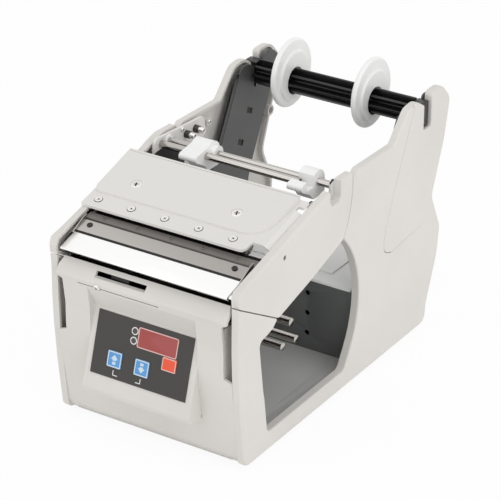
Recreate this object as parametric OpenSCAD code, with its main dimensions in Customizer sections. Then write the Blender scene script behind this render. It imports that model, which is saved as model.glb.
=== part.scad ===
// Desk machine that peels labels off their backing strip and rewinds the strip.
// Frame: X to the right, Y to the back, Z up. Outlines are (y, z) pairs measured from
// the front edge and the bottom edge of the side covers; place() moves them to the origin,
// which lies in the middle of the footprint on the plane of the feet.

/* [Body] */
// Width over the two side covers
body_w = 190; // [176:1:230]
// Depth of a side cover from its skin to its inner rim
cover_t = 7.8; // [6.5:0.1:10]
// Wall of the moulded plastic pieces
wall = 3; // [2:0.1:3.6]
// Sheet metal of the chassis
sheet = 2; // [1.2:0.1:2.4]
// Gap between the front arm piece and the side cover
seam = 0.8; // [0.4:0.1:1.5]
// Height of the rubber feet below the covers
foot_h = 4; // [2:0.5:8]
// Radius of a rubber foot
foot_r = 9; // [6:0.5:12]

/* [Roll axle] */
// Distance of the axle from the front edge
axle_y = 308.2; // [306:0.2:310]
// Height of the axle above the covers' bottom edge
axle_z = 213.5; // [212:0.5:215]
// Radius over the axle's long fins
fin_r = 12.6; // [10:0.2:14]
// Thickness of one fin
fin_t = 2.4; // [1.6:0.1:3]
// Width of the flat tongue at each end of the axle
tongue_w = 10.8; // [8:0.2:12]
// Radius of a roll flange
flange_r = 32.5; // [26:0.5:40]
// Thickness of a roll flange's rim
flange_t = 5.4; // [4:0.2:8]
// Height of the flange centre above the axle
flange_lift = 7; // [4:0.5:9]

/* [Guide rods] */
// Diameter of the two steel rods
rod_d = 6.6; // [5:0.2:8]
// Distance between the rods
rod_gap = 11; // [10:0.2:14]
// Width of the left guide block
guide_w = 18; // [14:1:26]
// How far the left guide's boss stands out along the rear rod
guide_boss_w = 5.5; // [3:0.5:8]
// Width of the right guide block
small_guide_w = 15; // [10:1:18]

/* [Rewind spindle] */
// Distance of the spindle from the front edge
spin_y = 126.7; // [120:0.5:135]
// Height of the spindle
spin_z = 64; // [58:0.5:70]
// Radius of the circle through the three pins
pin_ring = 13; // [11:0.5:16]
// Diameter of a pin
pin_d = 7.6; // [5:0.2:9]
// Radius of the disc that carries the pins
hub_r = 21; // [19:0.5:28]

/* [Feed] */
// Radius of the feed roller's rubber
feed_r = 8.6; // [6:0.2:9.4]
// Radius of the pinch roller
pinch_r = 3.2; // [2.4:0.2:3.4]
// Thickness of the peel and guide plates
plate_t = 1.6; // [1:0.1:2]

/* [Lid] */
// Thickness of the lid's skin
lid_t = 2.2; // [1.6:0.1:3]
// Width of the lid's lip at its front edge
lip_w = 165; // [140:1:165]
// Radius of the large curve of the raised panel
panel_curve = 22; // [10:1:30]

/* [Control panel] */
// Width of the recessed control panel
panel_w = 108; // [104:1:116]
// Width of the membrane
membrane_w = 96.5; // [94:0.5:100]
// Height of the membrane along the slope
membrane_h = 55.6; // [54:0.2:58]
// Side of a square key
key_w = 14; // [10:0.5:15]
// Travel of a key
key_travel = 0.4; // [0.2:0.1:0.8]
// Width of the display window
display_w = 38.1; // [30:0.5:40]

/* [Hidden] */
$fn = 48;

// Half depth of the footprint, from the control panel's nose to the rear corner
origin_y = 168.2;
half_w = body_w / 2;
cover_in = half_w - cover_t;
plate_in = cover_in - sheet;
upright_in = plate_in - sheet;
// Running clearance of shafts and rods on their radius
run = 0.06;
// Clearance between pieces that slide past each other
slide = 0.3;
floor_z = 10;
screw_r = 3.2;
big_screw_r = 4.8;
// Where the lid ends at the back
lid_rear = 120;

// Slope of the arms, the lid and the plates at the throat
arm_slope = 0.2476;
arm_tilt = atan(arm_slope);
nose_z = 168.5;
nose_y = 2.5;
function arm_z(y) = nose_z + arm_slope * (y - nose_y);

// --- outlines with rounded corners: each point is [y, z, corner radius] ---
function xy(p) = [p[0], p[1]];
function unit(v) = v / norm(v);
function turn_of(a, p, b) = 180 - acos(max(-1, min(1, unit(a - p) * unit(b - p))));
function corner(a, p, b, r) =
  let (
    turn = turn_of(a, p, b),
    room = 0.49 * min(norm(a - p), norm(b - p)),
    t = min(r * tan(turn / 2), room),
    u = unit(a - p),
    v = unit(b - p),
    rr = t / tan(turn / 2),
    c = p + unit(u + v) * rr / cos(turn / 2),
    q = p + u * t - c,
    w = p + v * t - c,
    n = max(1, ceil(turn / 9))
  )
  [for (i = [0:n]) c + (sin(turn * (1 - i / n)) * q + sin(turn * i / n) * w) / sin(turn)];
function bend(a, p, b, r) = r == 0 || turn_of(a, p, b) < 0.5 ? [p] : corner(a, p, b, r);
function rounded(s) = [
  for (i = [0:len(s) - 1])
    each bend(xy(s[(i + len(s) - 1) % len(s)]), xy(s[i]), xy(s[(i + 1) % len(s)]), s[i][2])
];
// The same closed outline moved inwards by d, its corners running anticlockwise
function left_of(v) = [-v[1], v[0]];
function shifted(a, p, b, r, d) =
  let (
    u = unit(p - a),
    v = unit(b - p),
    m = (left_of(u) + left_of(v)) / (1 + left_of(u) * left_of(v)),
    inward = left_of(u) * v > 0 ? -1 : 1
  )
  [p[0] + m[0] * d, p[1] + m[1] * d, r == 0 ? 0 : max(0.01, r + inward * d)];
function inset(s, d) = [
  for (i = [0:len(s) - 1])
    shifted(xy(s[(i + len(s) - 1) % len(s)]), xy(s[i]), xy(s[(i + 1) % len(s)]), s[i][2], d)
];
// A bent sheet: an open line with thickness t to its left
function open_bends(s) = [
  for (i = [0:len(s) - 1])
    each (i == 0 || i == len(s) - 1) ? [xy(s[i])] : bend(xy(s[i - 1]), xy(s[i]), xy(s[i + 1]), s[i][2])
];
function end_shift(p, v, d) = [p[0] + left_of(v)[0] * d, p[1] + left_of(v)[1] * d, 0];
function open_shift(s, d) = [
  for (i = [0:len(s) - 1])
    i == 0 ? end_shift(s[0], unit(xy(s[1]) - xy(s[0])), d)
    : i == len(s) - 1 ? end_shift(s[i], unit(xy(s[i]) - xy(s[i - 1])), d)
    : shifted(xy(s[i - 1]), xy(s[i]), xy(s[i + 1]), s[i][2], d)
];
function reversed(s) = [for (i = [len(s) - 1:-1:0]) s[i]];
function strip(s, t) = concat(open_bends(s), reversed(open_bends(open_shift(s, t))));

// --- placing ---
module place() {
  translate([0, -origin_y, foot_h]) children();
}
// A (y, z) outline drawn from x0 to x1
module along_x(x0, x1) {
  translate([x0, 0, 0]) rotate([90, 0, 90]) linear_extrude(x1 - x0) children();
}
// A (x, z) outline drawn from y0 to y1
module along_y(y0, y1) {
  translate([0, y1, 0]) rotate([90, 0, 0]) linear_extrude(y1 - y0) children();
}
// Left and right pieces: side is -1 or 1, and x0 < x1 count outwards from the middle
module on_side(side, x0, x1) {
  if (side > 0) along_x(x0, x1) children();
  else along_x(-x1, -x0) children();
}
module dot(y, z, r) {
  translate([y, z]) circle(r);
}
// Points down from the arm's slope: local x across, local y up the slope, local z out
module on_arm(x, y, lift) {
  translate([x, y, arm_z(y) + lift]) rotate([arm_tilt, 0, 0]) children();
}

// --- side outlines ---
tongue_drop = 13.3;
tongue_h = 24;
slot_low = axle_z - tongue_drop - 0.2;
slot_front = axle_y - 6.7;
slot_rear = axle_y + 6.8;
shell_path = [
  [11, 0, 7], [318.5, 0, 9], [320.5, 18, 20], [338, 64, 60], [341, 91, 14],
  [323.2, 127.5, 14], [342.5, 177, 80], [350.6, 216, 12], [335, 231.8, 16],
  [slot_rear, 231.8, 5], [slot_rear, slot_low, 2], [slot_front, slot_low, 2],
  [slot_front, 224, 3], [291, 231, 16], [274, 229.5, 14], [250, 204.6, 5],
  [189, 205.8, 3], [183, 200.8, 3], [177.5, 206.9, 2], [160, 207.4, 25],
  [nose_y, nose_z, 3], [0, 162, 2], [0.9, 153, 0], [0.6, 100, 300], [4.7, 50, 200]
];
arm_path = [
  [-20, 166.6, 0], [61.5, 119.6, 3], [114.3, 133.2, 300], [163.5, 148.6, 3],
  [173.8, 168.8, 60], [177.4, 190, 0], [177.6, 245, 0], [-20, 245, 0]
];
bow_y = 101;
bow_z = 82;
bow_r = 93;
opening_path = concat(
  [[45.5, 17.5, 6], [170.5, 17.5, 6]],
  [for (a = [-31:6:47]) [bow_y + bow_r * cos(a), bow_z + bow_r * sin(a), 0]],
  [[163.5, 152, 0], [61, 124, 0], [57.5, 118.4, 3], [52, 113.6, 6], [32.5, 108.5, 5]]
);
rod_slot = [[141, 230], [141, 193], [144.5, 188.6], [155, 188.6], [158.5, 193], [158.5, 230]];
arm_screw = [68.8, 172.5];

module shell_2d() {
  polygon(rounded(shell_path));
}
module arm_2d(side) {
  difference() {
    intersection() {
      shell_2d();
      polygon(rounded(arm_path));
    }
    if (side > 0) polygon(rod_slot);
  }
}
module side_2d(side) {
  difference() {
    shell_2d();
    polygon(rounded(inset(arm_path, -seam)));
    if (side > 0) polygon(rounded(opening_path));
  }
}

// A tray: a skin with a rim all round, open towards the chassis
module tray(side) {
  on_side(side, half_w - wall, half_w) children(0);
  on_side(side, cover_in, half_w - wall)
    difference() {
      children(0);
      children(1);
    }
}
rim = 2.6;
// Where the rewind belt passes from the arm into the side cover
belt_gate = [[78, 118], [148, 118], [138, 158], [78, 158]];
module side_hollow(side) {
  intersection() {
    polygon(rounded(inset(shell_path, rim)));
    difference() {
      polygon([[-30, -30], [400, -30], [400, 300], [-30, 300]]);
      polygon(rounded(inset(arm_path, -seam - rim)));
      if (side > 0) polygon(rounded(inset(opening_path, -rim)));
    }
  }
  if (side < 0) intersection() {
    side_2d(side);
    polygon(belt_gate);
  }
}
module arm_hollow(side) {
  difference() {
    intersection() {
      polygon(rounded(inset(shell_path, rim)));
      polygon(rounded(inset(arm_path, rim)));
    }
    if (side > 0) polygon([[138, 240], [138, 186], [161, 186], [161, 240]]);
  }
  if (side < 0) intersection() {
    arm_2d(side);
    polygon(belt_gate);
  }
}

// Screw bosses that join a cover to the chassis
side_bosses = [[24, 30], [290, 24], [304, 150], [232, 190]];
arm_bosses = [[30, 162], [128, 170]];
boss_r = 4.5;
screw_hole_r = 1.6;
module bosses(side, points) {
  for (p = points)
    on_side(side, cover_in, half_w - wall + 0.01)
      difference() {
        dot(p[0], p[1], boss_r);
        dot(p[0], p[1], screw_hole_r);
      }
}

// Styling line down each side cover, and the open boss behind the upright
groove_path = [[284, 231, 0], [235.6, 127, 34], [234.2, 107, 14], [251, 100.8, 0]];
groove_w = 0.8;
groove_depth = 0.6;
open_boss = [330.5, 166.4];
open_boss_r = 5.2;
open_boss_hole = 3.4;
module side_cover(side) {
  difference() {
    tray(side) {
      side_2d(side);
      side_hollow(side);
    }
    on_side(side, half_w - groove_depth, half_w + 1) polygon(strip(groove_path, groove_w));
  }
  bosses(side, side_bosses);
  on_side(side, upright_in, half_w - wall + 0.01)
    difference() {
      dot(open_boss[0], open_boss[1], open_boss_r);
      dot(open_boss[0], open_boss[1], open_boss_hole);
    }
}
module front_arm(side) {
  difference() {
    union() {
      tray(side) {
        arm_2d(side);
        arm_hollow(side);
      }
      bosses(side, arm_bosses);
    }
    on_side(side, half_w - wall - 1, half_w + 1) dot(arm_screw[0], arm_screw[1], 2.2);
  }
}
module left_side_cover() {
  color("gainsboro") place() side_cover(-1);
}
module right_side_cover() {
  color("gainsboro") place() side_cover(1);
}
module left_front_arm() {
  color("gainsboro") place() front_arm(-1);
}
module right_front_arm() {
  color("gainsboro") place() front_arm(1);
}
// The one screw that shows on each arm, in its countersunk hole
module cover_screws() {
  color("silver") place()
    for (side = [-1, 1])
      on_side(side, half_w - wall + 0.4, half_w - 0.5) dot(arm_screw[0], arm_screw[1], 2.2);
}

// --- chassis ---
base_front = 19;
base_rear = 300;
foot_recess = 5;
foot_x = plate_in - 15.2;
foot_spots = [[-foot_x, 40], [foot_x, 40], [-foot_x, 280], [foot_x, 280]];
module base_plate() {
  color("darkgray") place()
    difference() {
      union() {
        along_x(-plate_in, plate_in)
          polygon(strip([[base_front, 2, 0], [base_front, floor_z, 2], [base_rear, floor_z, 2],
            [base_rear, 2, 0]], -sheet));
      }
      for (p = foot_spots)
        translate([p[0], p[1], floor_z - sheet - 1]) cylinder(h = sheet + 2, r = screw_hole_r + 0.4);
    }
}
// Rubber feet screwed up against the floor sheet
module feet() {
  color("dimgray") place()
    for (p = foot_spots)
      translate([p[0], p[1], -foot_h])
        difference() {
          cylinder(h = foot_h + floor_z - sheet, r1 = foot_r, r2 = foot_r + 1);
          translate([0, 0, -1]) cylinder(h = foot_recess + 1, r = 4.4);
          cylinder(h = foot_h + floor_z, r = screw_hole_r + 0.4);
        }
}
module foot_screws() {
  color("silver") place()
    for (p = foot_spots)
      translate([p[0], p[1], 0]) {
        translate([0, 0, foot_recess - 2 - foot_h]) cylinder(h = 2, r = 3.4);
        translate([0, 0, foot_recess - 1 - foot_h])
          cylinder(h = floor_z + foot_h - foot_recess + 4, r = screw_hole_r);
      }
}

// Side plate of the left: a full wall that carries the rods, the spindle and the feed
box_front = 199;
box_top = 81.5;
feed_y = 56;
feed_z = 163;
pinch_z = feed_z + feed_r + pinch_r + 0.3;
hinge_y = lid_rear + 3;
hinge_z = arm_z(hinge_y) - 1.6;
hinge_r = 1.5;
shaft_r = 3;
rod_y = 148.5;
rod_z = 201;
rod_r = rod_d / 2;
back_rod_y = rod_y + rod_gap;
back_rod_z = rod_z - 1;
hub_shaft_r = 4;
motor_y = 93;
motor_z = 157;
motor_w = 40;
// Ear that carries the lid's pin just behind the lid
ear_r = 2.6;
hinge_ear = [
  [hinge_y + 5, arm_z(hinge_y) - 2, 2], [hinge_y + ear_r, hinge_z + ear_r, 2.4],
  [hinge_y - ear_r, hinge_z + ear_r, 2.4], [hinge_y - ear_r, hinge_z - 0.6, 0.5],
  [hinge_y - 8, arm_z(hinge_y) - 6, 2]
];
plate_path = [
  [22, floor_z - sheet, 3], [200, floor_z - sheet, 3], [200, 176, 3], [166, 190, 8],
  each hinge_ear, [12, 163.5, 3], [8, 158.5, 3], [22, 146, 3]
];
// The right plate's ear that carries the rear rod's end, behind the arm's slot
rod_ear_y = 153.6;
feed_path = [
  [7, 159, 2], [40, 140, 3], [62, 126, 4], [112, 139, 60], [158, 152.5, 4], [170, 172, 20],
  [172, 196, 4], [169, 205, 5], [rod_ear_y, 205, 3], [rod_ear_y, 184, 2], [139.5, 184, 3],
  [136, 194.5, 3], each hinge_ear, [12, 163.5, 3]
];
module left_side_plate() {
  color("lightgray") place()
    difference() {
      along_x(-cover_in, -plate_in) polygon(rounded(plate_path));
      along_x(-cover_in - 1, -plate_in + 1) {
        dot(feed_y, feed_z, shaft_r + run);
        dot(hinge_y, hinge_z, hinge_r + run);
        dot(spin_y, spin_z, hub_shaft_r + 2.52);
        dot(motor_y, motor_z, 4);
      }
    }
}
module right_feed_plate() {
  color("lightgray") place()
    difference() {
      along_x(plate_in, cover_in) polygon(rounded(feed_path));
      along_x(plate_in - 1, cover_in + 1) {
        dot(feed_y, feed_z, shaft_r + run);
        dot(hinge_y, hinge_z, hinge_r + run);
      }
    }
}

// Leaning uprights: a web with a joggled front lip and two square holes
lean = 27.8;
fork_top = 227;
upright_path = [
  [204, floor_z, 2], [284, floor_z, 4], [292, 112, 30], [299, 129, 60], [330, 189, 60],
  [346, 216, 10], [334, fork_top, 12], [slot_rear, fork_top, 4], [slot_rear, slot_low, 2],
  [slot_front, slot_low, 2], [slot_front, 221, 3], [290, fork_top, 14], [281, fork_top - 1, 10],
  [277, 222, 10], [240, 151, 40], [204, 118, 20]
];
upright_holes = [[293.7, 179.7], [278.5, 153]];
upright_hole = [9.4, 5.4];
module upright(side) {
  difference() {
    on_side(side, upright_in, plate_in) polygon(rounded(upright_path));
    for (p = upright_holes)
      on_side(side, upright_in - 1, plate_in + 1)
        translate(p) rotate(-lean) square(upright_hole, center = true);
  }
  // Lip ahead of the web, set back towards the cover
  on_side(side, plate_in - 0.01, plate_in + 1.2)
    polygon([[262, 222], [240, 172], [226, 150], [243, 150], [256, 171], [281, 220]]);
}
module left_upright() {
  color([0.2, 0.2, 0.2]) place() upright(-1);
}
module right_upright() {
  color([0.2, 0.2, 0.2]) place() upright(1);
}

// Dark partition behind the spindle, with its side flanges turned to the back
wall_holes_x = upright_in - 44.2;
wall_holes_z = [66.7, 46.5, 26.3];
wall_flange = 11;
module rear_wall() {
  color([0.25, 0.25, 0.25]) place()
    difference() {
      translate([0, 0, floor_z])
        linear_extrude(box_top - sheet - floor_z)
          polygon(strip([[-upright_in, box_front + wall_flange, 0],
            [-upright_in, box_front, 1.5], [upright_in, box_front, 1.5],
            [upright_in, box_front + wall_flange, 0]], sheet));
      for (z = wall_holes_z)
        along_y(box_front - 1, box_front + sheet + 1) dot(wall_holes_x, z, 2.6);
    }
}
// Light cover of the electrical box: a top with a raised field, and the back wall
box_rear = 286;
field_x = upright_in - 29.2;
field_y = box_front + 17;
field_t = 1.6;
field_margin = 12;
inlet_x = -upright_in + 37.2;
inlet_z = 42;
switch_x = 0;
module rear_box_cover() {
  color("gainsboro") place()
    difference() {
      union() {
        along_x(-upright_in + slide, upright_in - slide)
          polygon(strip([[box_front, box_top, 0], [box_rear, box_top, 2],
            [box_rear, floor_z, 0]], -sheet));
        translate([-upright_in + field_margin, field_y, box_top - 0.01])
          linear_extrude(field_t)
            square([upright_in - field_margin + field_x, box_rear - field_y - 10]);
      }
      along_y(box_rear - 8, box_rear + 8) {
        translate([inlet_x, inlet_z]) square([27.4, 20.4], center = true);
        translate([switch_x, inlet_z]) square([19.4, 13.2], center = true);
      }
    }
}
// Three-pin appliance inlet and rocker switch in the back wall
module power_inlet() {
  color([0.12, 0.12, 0.12]) place()
    difference() {
      union() {
        along_y(box_rear - 22, box_rear + 0.01) translate([inlet_x, inlet_z]) square([27, 20], center = true);
        along_y(box_rear, box_rear + 3) translate([inlet_x, inlet_z]) square([32, 25], center = true);
      }
      along_y(box_rear - 15, box_rear + 4)
        translate([inlet_x, inlet_z])
          polygon([[-12, -8], [12, -8], [12, 5], [8.5, 8.5], [-8.5, 8.5], [-12, 5]]);
    }
}
module power_switch() {
  color([0.15, 0.15, 0.15]) place()
    difference() {
      union() {
        along_y(box_rear - 16, box_rear + 0.01)
          translate([switch_x, inlet_z]) square([19, 12.8], center = true);
        along_y(box_rear, box_rear + 2) translate([switch_x, inlet_z]) square([21, 15], center = true);
      }
      along_y(box_rear - 7, box_rear + 3) translate([switch_x, inlet_z]) square([16, 10.4], center = true);
    }
}
// Rocker with two faces at a shallow angle, turned to its off side
rocker_swing = 7;
module switch_rocker() {
  color([0.1, 0.1, 0.1]) place()
    translate([switch_x, box_rear - 1, inlet_z - 4.8])
      rotate([0, 0, rocker_swing])
        linear_extrude(9.6)
          polygon([[-7.2, -1], [-3, -4], [3, -4], [7.2, -1], [7.2, 3.4], [0, 2.2], [-7.2, 3.4]]);
}
// Main board on four pillars at the right, power supply at the left
box_margin = 5.2;
board_w = 64;
board_d = 60;
board_t = 1.6;
board_x = upright_in - box_margin - board_w;
board_y = box_front + 9;
pillar_h = 8;
pillar_inset = 6;
capacitor_r = 6;
capacitor_h = 14;
relay = [16, 12, 6];
module board_standoffs() {
  color("gold") place()
    for (x = [pillar_inset, board_w - pillar_inset], y = [pillar_inset, board_d - pillar_inset])
      translate([board_x + x, board_y + y, floor_z]) cylinder(h = pillar_h, r = 2.8, $fn = 6);
}
module main_board() {
  color("seagreen") place()
    translate([board_x, board_y, floor_z + pillar_h]) {
      cube([board_w, board_d, board_t]);
      translate([pillar_inset + 2, board_d / 4, board_t]) cube(relay);
      for (y = [board_d / 4, board_d / 2])
        translate([board_w / 2 + 6, y, board_t]) cylinder(h = capacitor_h, r = capacitor_r);
    }
}
supply = [60, 50, 32];
module power_supply() {
  color("lightgray") place()
    translate([-upright_in + box_margin, box_front + 7, floor_z]) cube(supply);
}

// --- front housing ---
housing_x = 79.5;
housing_rear = 30;
panel_top = [7.6, 113.5];
panel_low = [-13.2, 44.5];
panel_lean = (panel_top[0] - panel_low[0]) / (panel_top[1] - panel_low[1]);
panel_tilt = atan(panel_lean);
front_line = [
  [6, 152.5, 0], [-5, 141, 2.5], [-3, 134, 2], [0.2, 112, 30], [0, 85, 100], [4.9, 50, 200],
  [11.5, 8, 6], [16, 1, 0]
];
panel_line = [
  [-3, 134, 0], [panel_top[0], panel_top[1], 1.5], [panel_low[0], panel_low[1], 4],
  [-10.6, 39.4, 2], [5.4, 38.6, 0]
];
cheek_path = [[-3, 134], [0.2, 112], [0, 88], [3.2, 88], [12, 113.5], [0, 134]];
wedge_path = [[0, 88.4], [-13.2, 45.2], [-10.6, 39.4], [5.4, 38.6], [8, 50], [3, 85]];
front_view = [
  [-cover_in, 1], [cover_in, 1], [cover_in, 83], [housing_x, 86], [housing_x, 136],
  [cover_in - 2, 138.5], [cover_in - 2, 147], [81, 156], [-81, 156], [-cover_in + 2, 147],
  [-cover_in + 2, 138.5], [-housing_x, 136], [-housing_x, 86], [-cover_in, 83]
];
half_panel = panel_w / 2;
module front_wall() {
  difference() {
    along_x(-cover_in, cover_in) polygon(strip(front_line, wall));
    along_x(-half_panel, half_panel)
      polygon([[-30, 134], [40, 134], [40, 38.6], [-30, 38.6]]);
  }
}
module front_housing() {
  color("gainsboro") place()
    difference() {
      intersection() {
        union() {
          front_wall();
          along_x(-half_panel, half_panel) polygon(strip(panel_line, wall));
          for (side = [-1, 1]) {
            on_side(side, half_panel, half_panel + wall) polygon(cheek_path);
            on_side(side, half_panel - wall, half_panel) polygon(wedge_path);
            // Side webs back to the chassis
            on_side(side, housing_x - wall, housing_x)
              polygon([[2, 132], [2, 86], [8, 40], [14, 4], [base_front - 0.2, 4],
                [base_front - 0.2, floor_z + 0.2], [housing_rear, floor_z + 0.2], [housing_rear, 130]]);
          }
          along_x(-housing_x, housing_x) polygon([[14, 2], [15, 5], [17.8, 5], [17.8, 2]]);
        }
        along_y(-40, 60) polygon(front_view);
      }
      // Sensor slot and hairline slot in the lip
      translate([-47.6, -12, 144.6]) cube([50.6, 30, 4.6]);
      translate([-63, -12, 136]) cube([81, 16, 1]);
      // Pockets for the keys' and the display's backs
      on_panel(0, 0, 0)
        for (k = keys)
          translate([k[0], k[1], -wall - 4]) linear_extrude(wall + 8)
            square([k[2] - 2, k[3] - 2], center = true);
      on_panel(display_x, display_y, -wall - 4)
        linear_extrude(wall + 8) square([display_w - 3, display_h - 3], center = true);
    }
}

// Local frame of the sloping panel: x to the right, y up the slope, z out of the face
panel_mid = [panel_low[0] + (85 - panel_low[1]) * panel_lean, 85];
module on_panel(x, y, lift) {
  translate([0, panel_mid[0], panel_mid[1]])
    rotate([90 - panel_tilt, 0, 0])
      translate([x, y, lift]) children();
}
up_x = -25.6;
down_x = 2;
reset_x = 27.8;
key_row = -11;
reset_row = -0.9;
key_h = key_w;
reset_h = 11.5;
keys = [[up_x, key_row, key_w, key_h], [down_x, key_row, key_w, key_h],
  [reset_x, reset_row, key_w, reset_h]];
display_x = 13.5;
display_y = 14.1;
display_h = 16;
membrane_t = 0.8;
led_x = -10.2;
leds = [18.2, 9.8];
led_r = 2.4;
module plate_2d(w, h, r) {
  polygon(rounded([[-w / 2, -h / 2, r], [w / 2, -h / 2, r], [w / 2, h / 2, r], [-w / 2, h / 2, r]]));
}
module membrane() {
  color([0.24, 0.22, 0.21]) place()
    on_panel(-0.2, 0, 0.02)
      linear_extrude(membrane_t)
        difference() {
          plate_2d(membrane_w, membrane_h, 3);
          for (k = keys)
            translate([k[0] + 0.2, k[1]]) plate_2d(k[2] + 0.6, k[3] + 0.6, 1.3);
          translate([display_x + 0.2, display_y]) plate_2d(display_w + 0.2, display_h + 0.2, 1);
          for (y = leds)
            translate([led_x + 0.2, y]) circle(led_r + 0.1);
        }
}
module display_window() {
  color([0.6, 0.05, 0.05]) place()
    on_panel(display_x, display_y, 0.02) linear_extrude(membrane_t + 0.3) plate_2d(display_w, display_h, 1);
}
module led_lenses() {
  color("firebrick") place()
    for (y = leds)
      on_panel(led_x, y, 0.02) cylinder(h = membrane_t + 0.5, r = led_r);
}
module key(i) {
  k = keys[i];
  on_panel(k[0], k[1], 0) {
    translate([0, 0, 0.02 + key_travel]) linear_extrude(1.4) plate_2d(k[2], k[3], 1);
    translate([0, 0, -wall - 2]) linear_extrude(wall + 2 + 0.02 + key_travel)
      square([k[2] - 3, k[3] - 3], center = true);
  }
}
module up_key() {
  color("royalblue") place() key(0);
}
module down_key() {
  color("royalblue") place() key(1);
}
module reset_key() {
  color("orangered") place() key(2);
}
module control_board() {
  color("seagreen") place()
    on_panel(0, 0, -wall - 4 - key_travel) {
      translate([-44, -24, 0]) cube([88, 50, 1.6]);
      for (x = [-40, 40], y = [-20, 22])
        translate([x, y, 1.6]) cylinder(h = 2.4 + key_travel, r = 2.2);
    }
}

// --- throat: peel plate, guide plate, deck ---
peel_line = [[2.6, 158.6, 0], [-1, 162, 1], [21, 168.5, 0]];
guide_line = [[22.2, 162.5, 0], [22.4, 169, 1], [37.6, 173.6, 1], [38, 165, 0]];
peel_half = cover_in - 4.2;
module peel_plate() {
  color("silver") place() {
    along_x(-peel_half, peel_half) polygon(strip(peel_line, -plate_t));
    for (side = [-1, 1])
      on_side(side, peel_half - 12, plate_in - 0.02)
        polygon([[8, 157], [19, 157], [19, 166.1], [8, 162.7]]);
  }
}
// Upturned ends of the guide plate beside the labels
end_ear = [[22.4, 167.2], [38, 170.6], [38.7, 177.6], [33.5, 176.4], [18.5, 168.9], [18.6, 168.1]];
module guide_plate() {
  color("silver") place() {
    along_x(-peel_half, peel_half) polygon(strip(guide_line, -plate_t));
    for (side = [-1, 1])
      on_side(side, peel_half - 0.01, peel_half + 1) polygon(end_ear);
    for (side = [-1, 1])
      on_side(side, peel_half - 10, plate_in - 0.02)
        polygon([[25, 158], [35, 158], [35, 170.6], [25, 167.6]]);
  }
}
plate_screws_x = [-75, 70];
module plate_screws() {
  color([0.1, 0.1, 0.1]) place()
    for (x = plate_screws_x)
      translate([x, 31.5, 169 + arm_slope * 10.5 + 0.42]) rotate([arm_tilt + 1.5, 0, 0])
        cylinder(h = 1, r1 = 2.6, r2 = 2.1);
}
deck_front = 39;
deck_rear = 46.6;
function deck_z(y) = arm_z(y) - 3.5;
deck_bottom = nose_z - 6.5;
module deck_strip() {
  color([0.16, 0.16, 0.16]) place()
    along_x(-plate_in + 0.02, plate_in - 0.02)
      polygon([[deck_front, deck_bottom], [deck_rear, deck_bottom], [deck_rear, deck_z(deck_rear)],
        [deck_front, deck_z(deck_front)]]);
}
deck_screws_x = [-68, -34, 0, 32, 66];
module deck_screws() {
  color("silver") place()
    for (x = deck_screws_x)
      translate([x, 42.8, deck_z(42.8) + 0.02]) rotate([arm_tilt, 0, 0])
        cylinder(h = 1, r1 = 1.9, r2 = 1.5);
}

// --- feed drive ---
module feed_roller() {
  color([0.2, 0.2, 0.2]) place()
    along_x(-plate_in + 3, plate_in - 3)
      difference() {
        dot(feed_y, feed_z, feed_r);
        dot(feed_y, feed_z, shaft_r);
      }
}
belt_x0 = cover_in + 0.6;
belt_x1 = half_w - wall - 0.5;
feed_pulley_r = 8;
motor_pulley_r = 8;
rewind_pulley_r = 16;
module feed_shaft() {
  color("silver") place()
    along_x(-belt_x1, cover_in - 0.05) dot(feed_y, feed_z, shaft_r);
}
module feed_pulley() {
  color("dimgray") place()
    along_x(-belt_x1, -belt_x0)
      difference() {
        dot(feed_y, feed_z, feed_pulley_r);
        dot(feed_y, feed_z, shaft_r);
      }
}
// A belt round two pulleys, as the loop between two offsets of their common outline
belt_gap = 0.3;
belt_t = 1.2;
function arc(c, r, a0, a1) = [for (i = [0:16]) let (a = a0 + (a1 - a0) * i / 16) c + r * [cos(a), sin(a)]];
function loop(c1, r1, c2, r2, d) =
  let (
    v = c2 - c1,
    along = atan2(v[1], v[0]),
    tilt = acos((r1 - r2) / norm(v))
  )
  concat(arc(c1, r1 + d, along + tilt, along + 360 - tilt), arc(c2, r2 + d, along - tilt, along + tilt));
module belt(x0, c1, r1, c2, r2) {
  along_x(x0, x0 + 1.5)
    difference() {
      polygon(loop(c1, r1, c2, r2, belt_gap + belt_t));
      polygon(loop(c1, r1, c2, r2, belt_gap));
    }
}
module feed_belt() {
  color([0.1, 0.1, 0.1]) place()
    belt(-belt_x1 + 0.2, [feed_y, feed_z], feed_pulley_r, [motor_y, motor_z], motor_pulley_r);
}
module rewind_belt() {
  color([0.1, 0.1, 0.1]) place()
    belt(-belt_x0 - 1.7, [motor_y, motor_z], motor_pulley_r, [spin_y, spin_z], rewind_pulley_r);
}
module pinch_roller() {
  color("silver") place() {
    along_x(-plate_in + 8, plate_in - 22) dot(feed_y, pinch_z, pinch_r);
    along_x(-plate_in + 5.4, plate_in - 19.4) dot(feed_y, pinch_z, 1.2);
  }
}
module motor() {
  color([0.18, 0.18, 0.18]) place() {
    on_side(-1, plate_in - 38, plate_in)
      translate([motor_y, motor_z]) plate_2d(motor_w, motor_w, 5);
    along_x(-cover_in + 0.2, -plate_in) dot(motor_y, motor_z, 3.4);
  }
}
module motor_pulley() {
  color("dimgray") place()
    along_x(-belt_x1, -belt_x0) dot(motor_y, motor_z, motor_pulley_r);
}

// --- lid ---
lid_front = 45.8;
lid_left = -half_w;
lid_lift = 0.3;
lip_right = lid_left + lip_w;
band_right = cover_in - 0.4;
panel_right = band_right - 8.8;
step_y = 64;
panel_slope = 0.30;
panel_rear_z = 204.5;
function panel_z(y) = panel_rear_z - panel_slope * (lid_rear - y);
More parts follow.
